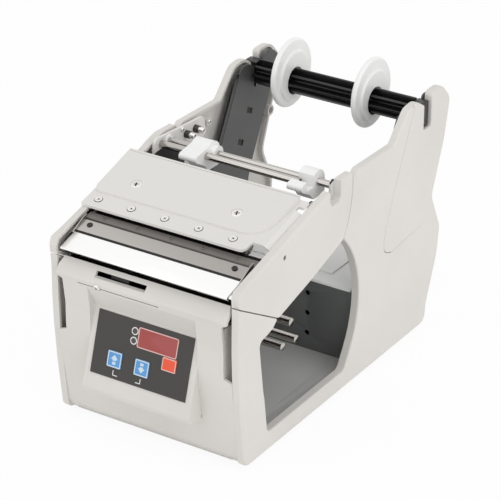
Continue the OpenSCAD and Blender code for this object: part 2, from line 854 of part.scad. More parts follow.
// The band's outer part is folded down beside the arm, between band_front and band_rear
band_fold = band_right - 5.6;
band_drop = 3.6;
band_front = 58;
band_rear = 108;
band_notch = 4;
lip_plan = [
  [lid_left, lid_front, 2], [lip_right, lid_front, 10], [lip_right + 0.5, band_front, 2],
  [band_fold, band_front, 0], [band_fold, band_rear + band_notch, 0],
  [band_right, band_rear + band_notch, 1], [band_right, lid_rear, 1], [lid_left, lid_rear, 1]
];
band_flat = lid_t * cos(arm_tilt);
band_profile = [
  [band_fold - 0.8, 0.3], [band_fold - 0.3, 0.06], [band_right, -band_drop],
  [band_right, band_flat - band_drop - 0.1], [band_fold - 0.3, band_flat - 0.06],
  [band_fold - 0.8, band_flat - 0.3]
];
band_run = (band_rear - band_front) / cos(arm_tilt);
panel_plan = [
  [lid_left + 3, step_y, 8], [panel_right - 3, step_y, panel_curve], [panel_right, lid_rear, 0],
  [lid_left + 0.01, lid_rear, 0], [lid_left + 0.01, 70, 4]
];
module lid_cover() {
  color("whitesmoke") place()
    difference() {
      union() {
        // Lip and side band, a skin on the slope of the arms
        intersection() {
          linear_extrude(260) polygon(rounded(lip_plan));
          along_x(lid_left - 1, half_w)
            polygon([[40, arm_z(40) + lid_lift], [122, arm_z(122) + lid_lift],
              [122, arm_z(122) + lid_lift + lid_t], [40, arm_z(40) + lid_lift + lid_t]]);
        }
        // Raised panel with its step
        intersection() {
          linear_extrude(260) polygon(rounded(panel_plan));
          along_x(lid_left - 1, half_w)
            polygon([[60, arm_z(60) + lid_lift + 1], [lid_rear, arm_z(lid_rear) + lid_lift + 1],
              [lid_rear, panel_rear_z], [60, panel_z(60)]]);
        }
      }
      // Hollow under the panel
      intersection() {
        linear_extrude(260) polygon(rounded(inset(panel_plan, lid_t)));
        along_x(lid_left - 1, half_w)
          polygon([[60, arm_z(60) - 1], [lid_rear + 1, arm_z(lid_rear) - 1],
            [lid_rear + 1, panel_rear_z - lid_t], [60, panel_z(60) - lid_t]]);
      }
      for (x = lid_screws_x)
        translate([x, 83, panel_z(83) - 1.6]) rotate([atan(panel_slope), 0, 0])
          cylinder(h = 4, r = big_screw_r + 0.1);
      // Pressed line along the rear edge
      translate([lid_left - 1, lid_rear - 2.6, panel_z(lid_rear - 2.6) - 0.5]) cube([body_w, 0.8, 3]);
    }
  color("whitesmoke") place()
    on_arm(0, band_front, lid_lift)
      rotate([90, 0, 0]) translate([0, 0, -band_run]) linear_extrude(band_run) polygon(band_profile);
}
lid_screws_x = [-63, 39];
lip_screws_x = [-83, -49, -15, 19, 53];
module lid_screws() {
  color("silver") place()
    for (x = lid_screws_x)
      translate([x, 83, panel_z(83) - 1.55]) rotate([atan(panel_slope), 0, 0])
        cylinder(h = 1.2, r = big_screw_r);
}
module lip_screws() {
  color("silver") place()
    for (x = lip_screws_x)
      on_arm(x, 55.5, lid_lift + lid_t + 0.08) cylinder(h = 0.7, r1 = 3, r2 = 2.3);
}
// Steel frame under the lid with ears for the pinch roller and the hinge
frame_half = plate_in - 4;
module lid_frame() {
  color("darkgray") place()
    difference() {
      union() {
        for (x = [[-frame_half, -frame_half + 2], [frame_half - 16, frame_half - 14]])
          along_x(x[0], x[1])
            polygon([[48, arm_z(48)], [52, feed_z + feed_r + 1], [60, feed_z + feed_r + 1],
              [66, arm_z(66) - 5], [hinge_y - 4, arm_z(hinge_y) - 6], [hinge_y + 3, hinge_z - 2.4],
              [hinge_y + 3, hinge_z + 1], [hinge_y + 1, hinge_z + 3], [hinge_y - 4, arm_z(hinge_y - 4)]]);
        along_x(-frame_half, frame_half - 14)
          polygon([[48, arm_z(48) - 1.4], [106, arm_z(106) - 1.4], [106, arm_z(106) + lid_lift],
            [48, arm_z(48) + lid_lift]]);
      }
      along_x(-half_w, half_w) {
        dot(feed_y, pinch_z, 1.2 + run);
        dot(hinge_y, hinge_z, hinge_r + run);
      }
    }
}
module lid_hinge_pin() {
  color("silver") place()
    along_x(-cover_in + 0.1, cover_in - 0.1) dot(hinge_y, hinge_z, hinge_r);
}

// --- gap sensor in the lip's slot ---
module sensor_carriage() {
  color([0.2, 0.2, 0.2]) place() {
    translate([-34, 3.6, 144.9]) cube([18, 12, 4]);
    translate([-30, 15.6, 140]) cube([10, 6, 10]);
  }
}
module sensor_screw() {
  color("silver") place()
    translate([-43, -4.02, 137.5]) rotate([90 + atan(2 / 7), 0, 0]) cylinder(h = 2, r = screw_r);
}

// --- rods and guides ---
rod_left = -plate_in;
front_rod_end = 60;
rod_plate_path = [
  [136, 184, 5], [166, 180, 6], [190, 180, 6], [207, 176, 5], [219, 187, 7], [216, 203, 4],
  [180, 205, 4], [140, 208, 5]
];
module rod_plate() {
  color("gainsboro") place()
    difference() {
      along_x(-plate_in, -plate_in + 3) polygon(rounded(rod_plate_path));
      along_x(-plate_in - 1, -plate_in + 4) {
        dot(rod_y, rod_z, rod_r);
        dot(back_rod_y, back_rod_z, rod_r);
      }
    }
}
module front_rod() {
  color("silver") place() along_x(rod_left, front_rod_end) dot(rod_y, rod_z, rod_r);
}
module rear_rod() {
  color("silver") place() along_x(rod_left, plate_in - 0.2) dot(back_rod_y, back_rod_z, rod_r);
}
module rod_standoffs() {
  color([0.15, 0.15, 0.15]) place()
    for (y = [187, 201.4])
      along_x(-plate_in + 3, -plate_in + 13) translate([y, 196]) circle(4, $fn = 6);
}
// Side view of a guide: a boss round the rear rod, a saddle over or under the front rod
// and a rounded foot just behind the lid
guide_boss_r = 10.6;
guide_wall = 3.4;
side_boss_r = norm([back_rod_y - rod_y, back_rod_z - rod_z]) - rod_r - slide;
foot_y = 135.4;
guide_foot_z = 202.4;
guide_foot_r = 3.3;
guide_skirt = 14;
module guide_body_2d(top) {
  dot(back_rod_y, back_rod_z, guide_boss_r);
  dot(foot_y, guide_foot_z, guide_foot_r);
  polygon(rounded([
    [foot_y - 1, guide_foot_z - guide_foot_r, 1], [rod_y - 2, rod_z - rod_r - guide_wall - 2, 4],
    [rod_y + 3, back_rod_z - guide_skirt, 3], [back_rod_y + guide_boss_r, back_rod_z - guide_skirt, 3],
    [back_rod_y + guide_boss_r, back_rod_z, 0], [back_rod_y + 2, back_rod_z + guide_boss_r, 4],
    [rod_y + 2, top, 5], [foot_y, guide_foot_z + guide_foot_r, 1]]));
}
module guide_bores() {
  dot(rod_y, rod_z, rod_r + run);
  dot(back_rod_y, back_rod_z, rod_r + run);
}
left_guide_x = -35;
right_guide_x = front_rod_end - 3.5;
module left_guide() {
  color("white") place() {
    along_x(left_guide_x - guide_w, left_guide_x)
      difference() {
        guide_body_2d(rod_z + rod_r + guide_wall);
        guide_bores();
      }
    along_x(left_guide_x, left_guide_x + guide_boss_w)
      difference() {
        dot(back_rod_y, back_rod_z, side_boss_r);
        dot(back_rod_y, back_rod_z, rod_r + run);
      }
  }
}
// The right guide passes under the front rod, which lies in a groove open at the top
groove_front = 8;
module right_guide() {
  color("white") place()
    along_x(right_guide_x, right_guide_x + small_guide_w)
      difference() {
        guide_body_2d(rod_z + rod_r + guide_wall);
        guide_bores();
        translate([rod_y - groove_front, rod_z - rod_r - run])
          square([groove_front + rod_r + run, 20]);
      }
}

// --- rewind spindle ---
hub_x = -plate_in + 6;
hub_t = 5;
pins_end = 66;
pin_turn = 83;
module rewind_hub() {
  color("silver") place() {
    along_x(hub_x, hub_x + hub_t)
      difference() {
        dot(spin_y, spin_z, hub_r);
        for (a = [0:120:240])
          dot(spin_y + pin_ring * cos(pin_turn + a), spin_z + pin_ring * sin(pin_turn + a), 1.5);
      }
    for (a = [0:120:240])
      along_x(hub_x + hub_t - 0.01, pins_end)
        dot(spin_y + pin_ring * cos(pin_turn + a), spin_z + pin_ring * sin(pin_turn + a), pin_d / 2);
    along_x(-belt_x1, hub_x + 0.01) dot(spin_y, spin_z, hub_shaft_r);
  }
}
module rewind_bearing() {
  color("goldenrod") place()
    along_x(-cover_in - 0.2, -plate_in + 5.4)
      difference() {
        dot(spin_y, spin_z, hub_shaft_r + 2.5);
        dot(spin_y, spin_z, hub_shaft_r + run);
      }
}
module rewind_pulley() {
  color("dimgray") place()
    along_x(-belt_x1, -belt_x0)
      difference() {
        dot(spin_y, spin_z, rewind_pulley_r);
        dot(spin_y, spin_z, hub_shaft_r);
      }
}

// --- label roll axle and flanges ---
axle_left = -half_w;
axle_right = half_w - 3;
module fins_2d(r, grow) {
  dot(0, 0, 4.6 + grow);
  for (a = [0:45:135])
    rotate(a) square([2 * (a % 90 == 0 ? r : r - 1.2), fin_t + 2 * grow], center = true);
}
module roll_axle() {
  color([0.1, 0.1, 0.1]) place() {
    along_x(-upright_in + 1, upright_in - 1) translate([axle_y, axle_z]) fins_2d(fin_r, 0);
    for (x = [[axle_left, -upright_in + 1], [upright_in - 1, axle_right]])
      along_x(x[0], x[1])
        translate([axle_y - tongue_w / 2, axle_z - tongue_drop]) square([tongue_w, tongue_h]);
  }
}
hub_disc_t = 2.2;
hub_disc_step = 9;
flange_round = 2.2;
// Half profile of the flange's disc, with its rim rounded on both sides
module flange(x) {
  difference() {
    union() {
      translate([x, axle_y, axle_z + flange_lift])
        rotate([0, 90, 0])
          rotate_extrude($fn = 96)
            polygon(rounded([[0, -flange_t / 2, 0], [flange_r, -flange_t / 2, flange_round],
              [flange_r, flange_t / 2, flange_round], [0, flange_t / 2, 0]]));
      along_x(x, x + flange_t / 2 + hub_disc_t)
        dot(axle_y, axle_z + flange_lift * 0.6, flange_r - hub_disc_step);
    }
    along_x(x - 20, x + 20) dot(axle_y, axle_z, fin_r + 0.25);
  }
}
left_flange_x = -48;
right_flange_x = 36;
module left_flange() {
  color("white") place() flange(left_flange_x);
}
module right_flange() {
  color("white") place() flange(right_flange_x);
}

base_plate();
feet();
foot_screws();
left_side_plate();
right_feed_plate();
left_upright();
right_upright();
rear_wall();
rear_box_cover();
power_inlet();
power_switch();
main_board();
power_supply();
board_standoffs();
left_side_cover();
left_front_arm();
right_side_cover();
right_front_arm();
cover_screws();
front_housing();
membrane();
display_window();
led_lenses();
up_key();
down_key();
reset_key();
control_board();
peel_plate();
guide_plate();
plate_screws();
deck_strip();
deck_screws();
feed_roller();
feed_shaft();
feed_pulley();
pinch_roller();
lid_cover();
lid_frame();
lid_hinge_pin();
lid_screws();
lip_screws();
sensor_carriage();
sensor_screw();
front_rod();
rear_rod();
rod_plate();
rod_standoffs();
left_guide();
right_guide();
rewind_hub();
rewind_pulley();
rewind_bearing();
motor();
motor_pulley();
feed_belt();
rewind_belt();
switch_rocker();
roll_axle();
left_flange();
right_flange();
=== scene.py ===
import bpy
import bmesh
import math
import numpy as np
from mathutils import Matrix, Vector
from mathutils.geometry import delaunay_2d_cdt


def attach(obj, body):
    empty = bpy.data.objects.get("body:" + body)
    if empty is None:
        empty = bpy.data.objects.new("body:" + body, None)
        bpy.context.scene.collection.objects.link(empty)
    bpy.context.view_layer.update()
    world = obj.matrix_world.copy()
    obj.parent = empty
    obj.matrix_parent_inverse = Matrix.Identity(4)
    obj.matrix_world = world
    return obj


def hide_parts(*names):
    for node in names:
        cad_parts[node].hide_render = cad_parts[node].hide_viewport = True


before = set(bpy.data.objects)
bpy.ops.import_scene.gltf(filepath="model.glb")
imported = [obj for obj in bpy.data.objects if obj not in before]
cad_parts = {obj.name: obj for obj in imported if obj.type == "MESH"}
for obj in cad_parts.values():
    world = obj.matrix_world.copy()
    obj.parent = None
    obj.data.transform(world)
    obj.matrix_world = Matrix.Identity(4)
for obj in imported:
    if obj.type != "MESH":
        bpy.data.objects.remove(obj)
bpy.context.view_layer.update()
print("frame loaded")

mm = 0.001
originY = 168.2  # mm from the covers' front edge to the origin
footHeight = 4.0  # mm from the table to the covers' bottom edge
joinGap = 0.004 * mm  # points nearer than this are one point
flatAngle = math.radians(0.4)  # faces that turn by less make one flat face
foldAngle = 27  # degrees between two faces, from which their edge is a real one
rodSpots = [(148.5, 201), (159.5, 200)]  # (y, z) of the front and the rear rod
axleSpot = (308.2, 213.5)  # (y, z)
armSlope, armStart = 0.2476, (2.5, 168.5)  # the arms' top edge rises from this (y, z)


def place(points):  # mm from the front edge and the covers' bottom edge, to metres in the frame
    return (np.asarray(points, float) + (0, -originY, footHeight)) * mm


def machine(points):  # the way back, metres in the frame to mm of the machine
    return np.asarray(points, float) / mm + (0, originY, -footHeight)


def linear(hexCode):  # sRGB hex to linear RGBA
    channels = [int(hexCode[i:i + 2], 16) / 255 for i in (1, 3, 5)]
    return [c / 12.92 if c <= 0.04045 else ((c + 0.055) / 1.055) ** 2.4 for c in channels] + [1.0]


def addNode(tree, kind, links=(), **settings):  # links: (socket name or number, source socket)
    node = tree.nodes.new(kind)
    for name, value in settings.items():
        if name == "inputs":
            for key, v in value.items():
                node.inputs[key].default_value = v
        else:
            setattr(node, name, value)
    for socket, source in links:
        tree.links.new(source, node.inputs[socket])
    return node


def startMaterial(name, baseColor, roughness, metallic=0.0):  # a Principled shader and Object coordinates
    material = bpy.data.materials.new(name)
    material.use_nodes = True
    tree = material.node_tree
    shader = tree.nodes["Principled BSDF"]
    shader.inputs["Base Color"].default_value = linear(baseColor)
    shader.inputs["Roughness"].default_value = roughness
    shader.inputs["Metallic"].default_value = metallic
    coords = addNode(tree, "ShaderNodeTexCoord")
    return material, tree, shader, coords.outputs["Object"]


camera = {  # fitted to straight edges of the photograph
    "azimuth": 32.601, "elevation": 26.881, "roll": 0.296,  # degrees
    "position": (1021.5, -1442.8, 1077.6),  # mm from the front edge and the covers' bottom
    "pixels": 500, "focalPixels": 2429.83, "centre": (243.63, 250.70),  # in the photograph
    "sensor": 36,  # mm
    "near": 0.05, "far": 50,  # metres
}


def makeCamera(c):
    a, e, t = (math.radians(c[k]) for k in ("azimuth", "elevation", "roll"))
    back = Vector((math.sin(a) * math.cos(e), -math.cos(a) * math.cos(e), math.sin(e)))
    right = Vector((math.cos(a), math.sin(a), 0))
    up = Vector((-math.sin(a) * math.sin(e), math.cos(a) * math.sin(e), math.cos(e)))
    right, up = math.cos(t) * right + math.sin(t) * up, math.cos(t) * up - math.sin(t) * right
    data = bpy.data.cameras.new("camera")
    data.sensor_width = c["sensor"]
    data.lens = c["focalPixels"] / c["pixels"] * c["sensor"]
    data.shift_x = 0.5 - c["centre"][0] / c["pixels"]
    data.shift_y = c["centre"][1] / c["pixels"] - 0.5
    data.clip_start, data.clip_end = c["near"], c["far"]
    shot = bpy.data.objects.new("camera", data)
    turn = Matrix((right, up, back)).transposed().to_4x4()
    shot.matrix_world = Matrix.Translation(place(c["position"])) @ turn
    bpy.context.scene.collection.objects.link(shot)
    bpy.context.scene.camera = shot


makeCamera(camera)
print("camera made")

studio = {  # a white room with three soft lamps
    "ambient": 0.84,  # strength of the room's own light
    "lamps": [  # name, direction from the object in metres, size in metres, watts
        ("topSoftbox", (-0.5, -0.7, 2.0), 1.8, 5),
        ("rightSoftbox", (2.0, -0.5, 0.9), 1.6, 6.5),
        ("frontSoftbox", (-0.6, -2.1, 0.8), 1.4, 3.5),
    ],
    "leftShare": 0.72, "rightShare": 1.12,  # ambient light from the left and from the right
    "glow": 0.93,  # share of the floor that is plain white to the camera; the rest keeps the shadow
    "floorSize": 12, "floorHeight": -0.0004, "paper": ("#fbfbfb", 0.9),  # metres; colour, roughness
}


def whiteToCamera(tree):  # 1 where the camera, glass or polished metal looks straight at it
    path = addNode(tree, "ShaderNodeLightPath")
    straight = addNode(tree, "ShaderNodeMath", [(0, path.outputs["Is Camera Ray"]),
                       (1, path.outputs["Is Transmission Ray"])], operation="MAXIMUM")
    seen = addNode(tree, "ShaderNodeMath", [(0, straight.outputs[0]),
                   (1, path.outputs["Is Glossy Ray"])], operation="MAXIMUM")
    return seen.outputs[0]


def makeStudio(s):
    for name, spot, size, watts in s["lamps"]:
        lamp = bpy.data.lights.new(name, "AREA")
        lamp.size, lamp.energy = size, watts
        holder = bpy.data.objects.new(name, lamp)
        holder.location = spot
        holder.rotation_mode = "QUATERNION"
        holder.rotation_quaternion = Vector(spot).to_track_quat("Z", "Y")
        bpy.context.scene.collection.objects.link(holder)
    world = bpy.data.worlds.new("whiteRoom")
    world.use_nodes = True
    tree = world.node_tree
    tree.nodes.clear()
    coords = addNode(tree, "ShaderNodeTexCoord")
    axes = addNode(tree, "ShaderNodeSeparateXYZ", [("Vector", coords.outputs["Generated"])])
    side = addNode(tree, "ShaderNodeMapRange", [("Value", axes.outputs["X"])],
                   inputs={"From Min": -1.0, "From Max": 1.0, "To Min": s["ambient"] * s["leftShare"],
                           "To Max": s["ambient"] * s["rightShare"]})
    ambient = addNode(tree, "ShaderNodeBackground", [("Strength", side.outputs[0])],
                      inputs={"Color": (1, 1, 1, 1)})
    white = addNode(tree, "ShaderNodeBackground", inputs={"Color": (1, 1, 1, 1), "Strength": 1.0})
    both = addNode(tree, "ShaderNodeMixShader", [(0, whiteToCamera(tree)), (1, ambient.outputs[0]),
                                                 (2, white.outputs[0])])
    addNode(tree, "ShaderNodeOutputWorld", [("Surface", both.outputs[0])])
    bpy.context.scene.world = world
    bpy.ops.mesh.primitive_plane_add(size=s["floorSize"], location=(0, 0, s["floorHeight"]))
    floor = bpy.context.object
    floor.name = "floor"
    material, tree, shader = startMaterial("paperFloor", *s["paper"])[:3]
    glow = addNode(tree, "ShaderNodeEmission", inputs={"Color": (1, 1, 1, 1), "Strength": 1.0})
    share = addNode(tree, "ShaderNodeMath", [(0, whiteToCamera(tree))],
                    operation="MULTIPLY", inputs={1: s["glow"]})
    both = addNode(tree, "ShaderNodeMixShader", [(0, share.outputs[0]), (1, shader.outputs[0]),
                                                 (2, glow.outputs[0])])
    tree.links.new(both.outputs[0], tree.nodes["Material Output"].inputs["Surface"])
    floor.data.materials.append(material)
    bpy.context.scene.view_settings.view_transform = "Standard"


makeStudio(studio)
print("studio made")


patterns = {  # real sizes in mm; a mould grain of 0.1 mm is drawn at 0.3 to 0.8 so that it shows
    "grainDepth": 0.05, "cloudSize": 71.4, "cloudDarker": 5,  # cloudDarker: levels of 255
    "peelDepth": 0.08, "smearSize": 40, "smearSpread": 0.05,  # smearSpread: of the roughness
    "scratchDepth": 0.02, "smoother": 0.08, "rougher": 0.1,  # of the roughness
    "upward": 0.5,  # how far up a face must point to get the painted shade
}


# Plastic from a spark-eroded mould: fine noise in the normal, a faint cloud of a darker colour
def mouldedPlastic(name, hexCode, roughness, grainSize, strength):
    material, tree, shader, coords = startMaterial(name, hexCode, roughness)
    speck = addNode(tree, "ShaderNodeTexNoise", [("Vector", coords)],
                    inputs={"Scale": 1 / (grainSize * mm), "Detail": 3})
    cloud = addNode(tree, "ShaderNodeTexNoise", [("Vector", coords)],
                    inputs={"Scale": 1 / (patterns["cloudSize"] * mm), "Detail": 2})
    tone = addNode(tree, "ShaderNodeMapRange", [("Value", cloud.outputs["Fac"])],
                   inputs={"From Min": 0.3, "From Max": 0.7, "To Min": 0.0, "To Max": 1.0})
    plain = linear(hexCode)
    levels = [max(0, int(hexCode[i:i + 2], 16) - patterns["cloudDarker"]) for i in (1, 3, 5)]
    mix = addNode(tree, "ShaderNodeMix", [(0, tone.outputs[0])], data_type="RGBA",
                  inputs={6: plain, 7: linear("#%02x%02x%02x" % tuple(levels))})
    tree.links.new(mix.outputs[2], shader.inputs["Base Color"])
    bump = addNode(tree, "ShaderNodeBump", [("Height", speck.outputs["Fac"])],
                   inputs={"Strength": strength, "Distance": patterns["grainDepth"] * mm})
    tree.links.new(bump.outputs["Normal"], shader.inputs["Normal"])
    return material


# Baked powder: a slight orange peel in the normal, smears of more and less gloss
def powderCoat(name, hexCode, roughness, pebble=1.2, strength=0.12):
    material, tree, shader, coords = startMaterial(name, hexCode, roughness)
    peel = addNode(tree, "ShaderNodeTexNoise", [("Vector", coords)],
                   inputs={"Scale": 1 / (pebble * mm), "Detail": 1})
    smear = addNode(tree, "ShaderNodeTexNoise", [("Vector", coords)],
                    inputs={"Scale": 1 / (patterns["smearSize"] * mm), "Detail": 2})
    spread = patterns["smearSpread"]
    rough = addNode(tree, "ShaderNodeMapRange", [("Value", smear.outputs["Fac"])],
                    inputs={"To Min": roughness - spread, "To Max": roughness + spread})
    tree.links.new(rough.outputs[0], shader.inputs["Roughness"])
    bump = addNode(tree, "ShaderNodeBump", [("Height", peel.outputs["Fac"])],
                   inputs={"Strength": strength, "Distance": patterns["peelDepth"] * mm})
    tree.links.new(bump.outputs["Normal"], shader.inputs["Normal"])
    return material


# A coated sheet whose faces that point upwards are painted dark, as painted shade on its cut edges
def upFacesShaded(name, hexCode, shadeHex, roughness):
    material = powderCoat(name, hexCode, roughness)
    tree = material.node_tree
    coords = addNode(tree, "ShaderNodeTexCoord")
    facing = addNode(tree, "ShaderNodeSeparateXYZ", [(0, coords.outputs["Normal"])])
    upward = addNode(tree, "ShaderNodeMath", [(0, facing.outputs["Z"])],
                     operation="GREATER_THAN", inputs={1: patterns["upward"]})
    mix = addNode(tree, "ShaderNodeMix", [(0, upward.outputs[0])], data_type="RGBA",
                  inputs={6: linear(hexCode), 7: linear(shadeHex)})
    tree.links.new(mix.outputs[2], tree.nodes["Principled BSDF"].inputs["Base Color"])
    return material


# Worked steel: noise stretched along the lines of the tool, in the roughness and the normal
def brushedSteel(name, hexCode, roughness, lines, strength=0.25):  # lines: per mm along X, Y and Z
    material, tree, shader, coords = startMaterial(name, hexCode, roughness, 1.0)
    stretch = addNode(tree, "ShaderNodeMapping", [("Vector", coords)],
                      inputs={"Scale": [count / mm for count in lines]})
    scratch = addNode(tree, "ShaderNodeTexNoise", [("Vector", stretch.outputs[0])],
                      inputs={"Scale": 1.0, "Detail": 4})
    rough = addNode(tree, "ShaderNodeMapRange", [("Value", scratch.outputs["Fac"])],
                    inputs={"To Min": roughness - patterns["smoother"],
                            "To Max": roughness + patterns["rougher"]})
    tree.links.new(rough.outputs[0], shader.inputs["Roughness"])
    bump = addNode(tree, "ShaderNodeBump", [("Height", scratch.outputs["Fac"])],
                   inputs={"Strength": strength, "Distance": patterns["scratchDepth"] * mm})
    tree.links.new(bump.outputs["Normal"], shader.inputs["Normal"])
    return material


finishTable = {  # maker, colour, roughness and the rest; the comment is what the eye gets
    "coverAbs": (mouldedPlastic, "#dfdcd7", 0.5, 0.45, 0.25),  # warm pale grey, satin
    "grooveShade": (mouldedPlastic, "#7d7872", 0.6, 0.45, 0.25),  # the same plastic darker, painted shade in a narrow groove
    "lidPaint": (powderCoat, "#e2e0dc", 0.42),  # pale sheet with a broad soft sheen
    "chassisBlackLit": (powderCoat, "#4a4b4a", 0.45, 0.6, 0.2),  # black paint coloured grey as painted light on the web
    "chassisBlackShaded": (powderCoat, "#161616", 0.25, 0.6, 0.1),  # the same black paint kept black as painted shade on the lip, gloss with one sharp highlight
    "deckEnamel": (powderCoat, "#6f6a66", 0.4, 0.6, 0.2),  # brown-grey half gloss
    "wallGrey": (powderCoat, "#666968", 0.45, 0.6, 0.2),  # mid grey, even
    "gapShadeBlack": (powderCoat, "#0c0b0a", 0.7, 0.6, 0.2),  # matt black, painted shade in gaps and hollows
    "sidePlateShadedTop": (upFacesShaded, "#cfcfcc", "#2e2c2a", 0.45),  # light faces; faces pointing up painted dark as shade
    "boxPaint": (powderCoat, "#fafaf8", 0.45),  # near white, even
    "floorSheet": (powderCoat, "#bdbdbb", 0.42),  # light grey, soft sheen
    "polishedPlate": (brushedSteel, "#fbfbfa", 0.2, (0.06, 6, 6), 0.1),  # nearly a mirror
    "brushedPlate": (brushedSteel, "#a9a5a1", 0.34, (0.06, 9, 9)),  # grey streaks along X
    "groundRod": (brushedSteel, "#bcb8b4", 0.1, (4, 0.3, 0.3), 0.15),  # a bright line along it
    "zincScrew": (brushedSteel, "#e9e7e3", 0.3, (0.9, 0.9, 0.9)),  # bright, slightly cloudy
    "recessShade": (powderCoat, "#35322f", 0.6),  # a dull dark colour, painted shade in screw recesses
    "darkNut": (powderCoat, "#3b3835", 0.3),  # phosphated, a soft gleam
    "blackOxide": (powderCoat, "#1d1d1d", 0.4),  # blackened steel, low gloss
    "darkScrew": (powderCoat, "#6b6763", 0.35),  # dulled grey zinc
    "blackAnodised": (powderCoat, "#141414", 0.28),  # deep black, thin highlights on the fins
    "whiteAcetal": (mouldedPlastic, "#f8f8f7", 0.28, 0.8, 0.05),  # white and waxy
    "blackMoulding": (mouldedPlastic, "#202020", 0.5, 0.5, 0.2),  # black nylon, satin
    "blackRubber": (mouldedPlastic, "#1c1c1c", 0.8, 0.6, 0.4),  # matt and grainy
    "membraneFilm": (mouldedPlastic, "#3b3936", 0.4, 0.3, 0.1),  # printed polyester, fine grain
    "redWindow": (mouldedPlastic, "#a84a47", 0.2, 0.8, 0.0),  # smooth red acrylic
    "paleRed": (mouldedPlastic, "#e6bcb8", 0.4, 0.8, 0.0),  # flat ink round the red parts
    "whiteInk": (mouldedPlastic, "#ecebe8", 0.45, 0.8, 0.0),  # flat screen ink
    "clearLens": (mouldedPlastic, "#4d4a47", 0.2, 0.8, 0.0),  # unlit lens, dark and glossy
    "keyBlue": (mouldedPlastic, "#5f9dd8", 0.4, 0.3, 0.1),  # blue film, soft sheen
    "paleBlue": (mouldedPlastic, "#cfe2f1", 0.4, 0.3, 0.1),  # flat ink on the blue keys
    "keyOrange": (mouldedPlastic, "#ee5c38", 0.4, 0.3, 0.1),  # orange film, soft sheen
    "laminateGreen": (mouldedPlastic, "#1d5a35", 0.35, 0.6, 0.2),  # board under solder lacquer
    "turnedBrass": (brushedSteel, "#c9a558", 0.3, (4, 0.3, 0.3)),  # yellow, fine turned rings
}
materials = {name: row[0](name, *row[1:]) for name, row in finishTable.items()}


def addPiece(name, points, faces, looks, body, hides=(), marks=None):
    # points in mm of the machine, faces as rows of point numbers, marks: material number per face
    mesh = bpy.data.meshes.new(name)
    mesh.from_pydata(place(points).tolist(), [], [list(face) for face in faces])
    if marks is not None:
        mesh.polygons.foreach_set("material_index", np.asarray(marks, np.int32))
    shape = bmesh.new()
    shape.from_mesh(mesh)
    bmesh.ops.remove_doubles(shape, verts=shape.verts, dist=joinGap / 2)
    bmesh.ops.recalc_face_normals(shape, faces=shape.faces)
    shape.to_mesh(mesh)
    shape.free()
    return finishPiece(name, mesh, looks, body, hides, 35)  # degrees; softer folds stay smooth


def finishPiece(name, mesh, looks, body, hides, sharp):
    mesh.polygons.foreach_set("use_smooth", [True] * len(mesh.polygons))
    mesh.set_sharp_from_angle(angle=math.radians(sharp))
    for look in looks:
        mesh.materials.append(materials[look])
    piece = bpy.data.objects.new(name, mesh)
    bpy.context.scene.collection.objects.link(piece)
    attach(piece, body)
    if hides:
        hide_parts(*hides)
    return piece


def meshOf(shape, name):  # the edited shape, as a mesh
    mesh = bpy.data.meshes.new(name)
    shape.to_mesh(mesh)
    shape.free()
    return mesh


def breakEdges(piece, radius):  # a small bevel, in mm, on each real edge
    bevel = piece.modifiers.new("brokenEdges", "BEVEL")
    bevel.width, bevel.segments, bevel.limit_method = radius * mm, 2, "ANGLE"
    bevel.angle_limit = math.radians(foldAngle)
    bevel.use_clamp_overlap, bevel.harden_normals = True, True


def evenShading(piece):  # the large flat faces set the shading beside a rounded edge
    weigh = piece.modifiers.new("flatFaces", "WEIGHTED_NORMAL")
    weigh.keep_sharp, weigh.weight = True, 60


# Quads between neighbouring rows of a grid; closed joins the last column to the first
def gridQuads(rows, cols, closed=True):
    i = np.arange(rows - 1)[:, None] * cols
    j = np.arange(cols if closed else cols - 1)[None, :]
    k = (j + 1) % cols
    return np.stack([i + j, i + k, i + cols + k, i + cols + j], -1).reshape(-1, 4)


def joined(parts):  # several (points, faces) made one, the numbers of the later ones moved up
    points, faces, start = [], [], 0
    for p, f in parts:
        points.append(np.asarray(p, float).reshape(-1, 3))
        faces += [[n + start for n in face] for face in f]
        start += len(points[-1])
    return np.concatenate(points), faces


def softStep(x):  # 0 below 0, 1 above 1, and a smooth cubic between
    x = np.clip(x, 0, 1)
    return x * x * (3 - 2 * x)


def seat(points, spot, outward, upward=(0, 0, 1)):  # local x, y, z onto a face with this outward normal
    w = np.array(outward, float) / np.linalg.norm(outward)
    u = np.cross(upward, w)
    u = u / np.linalg.norm(u)
    return np.asarray(points).reshape(-1, 3) @ np.array([u, np.cross(w, u), w]) + spot


def turned(profile, count=48):  # a profile of (radius, height) carried round the local z axis
    profile = np.asarray(profile, float)
    turn = np.linspace(0, 2 * np.pi, count, endpoint=False)[None, :]
    r, z = profile[:, :1], profile[:, 1:]
    points = np.stack([r * np.cos(turn), r * np.sin(turn), z + 0 * turn], -1)
    return points, gridQuads(len(profile), count)


def slab(loop, low, high):  # a flat closed outline given a thickness
    loop = np.asarray(loop, float)
    n = len(loop)
    points = np.concatenate([np.c_[loop, np.full(n, low)], np.c_[loop, np.full(n, high)]])
    return points, [list(range(n))[::-1], list(range(n, 2 * n))] + gridQuads(2, n).tolist()


def ring(outer, inner, low, high):  # a flat band between two outlines with as many points
    rows = [(outer, low), (outer, high), (inner, high), (inner, low), (outer, low)]
    points = np.concatenate([np.c_[loop, np.full(len(loop), z)] for loop, z in rows])
    return points, gridQuads(5, len(outer))


def roundedLoop(w, h, r, x=0.0, y=0.0, count=7):  # four quarter circles, their centres at the corners
    turn = (np.linspace(0, 90, count)[None, :] + np.arange(0, 360, 90)[:, None]).ravel() * np.pi / 180
    sideX = np.repeat([1, -1, -1, 1], count) * (w / 2 - r)
    sideY = np.repeat([1, 1, -1, -1], count) * (h / 2 - r)
    return np.stack([x + sideX + r * np.cos(turn), y + sideY + r * np.sin(turn)], -1)


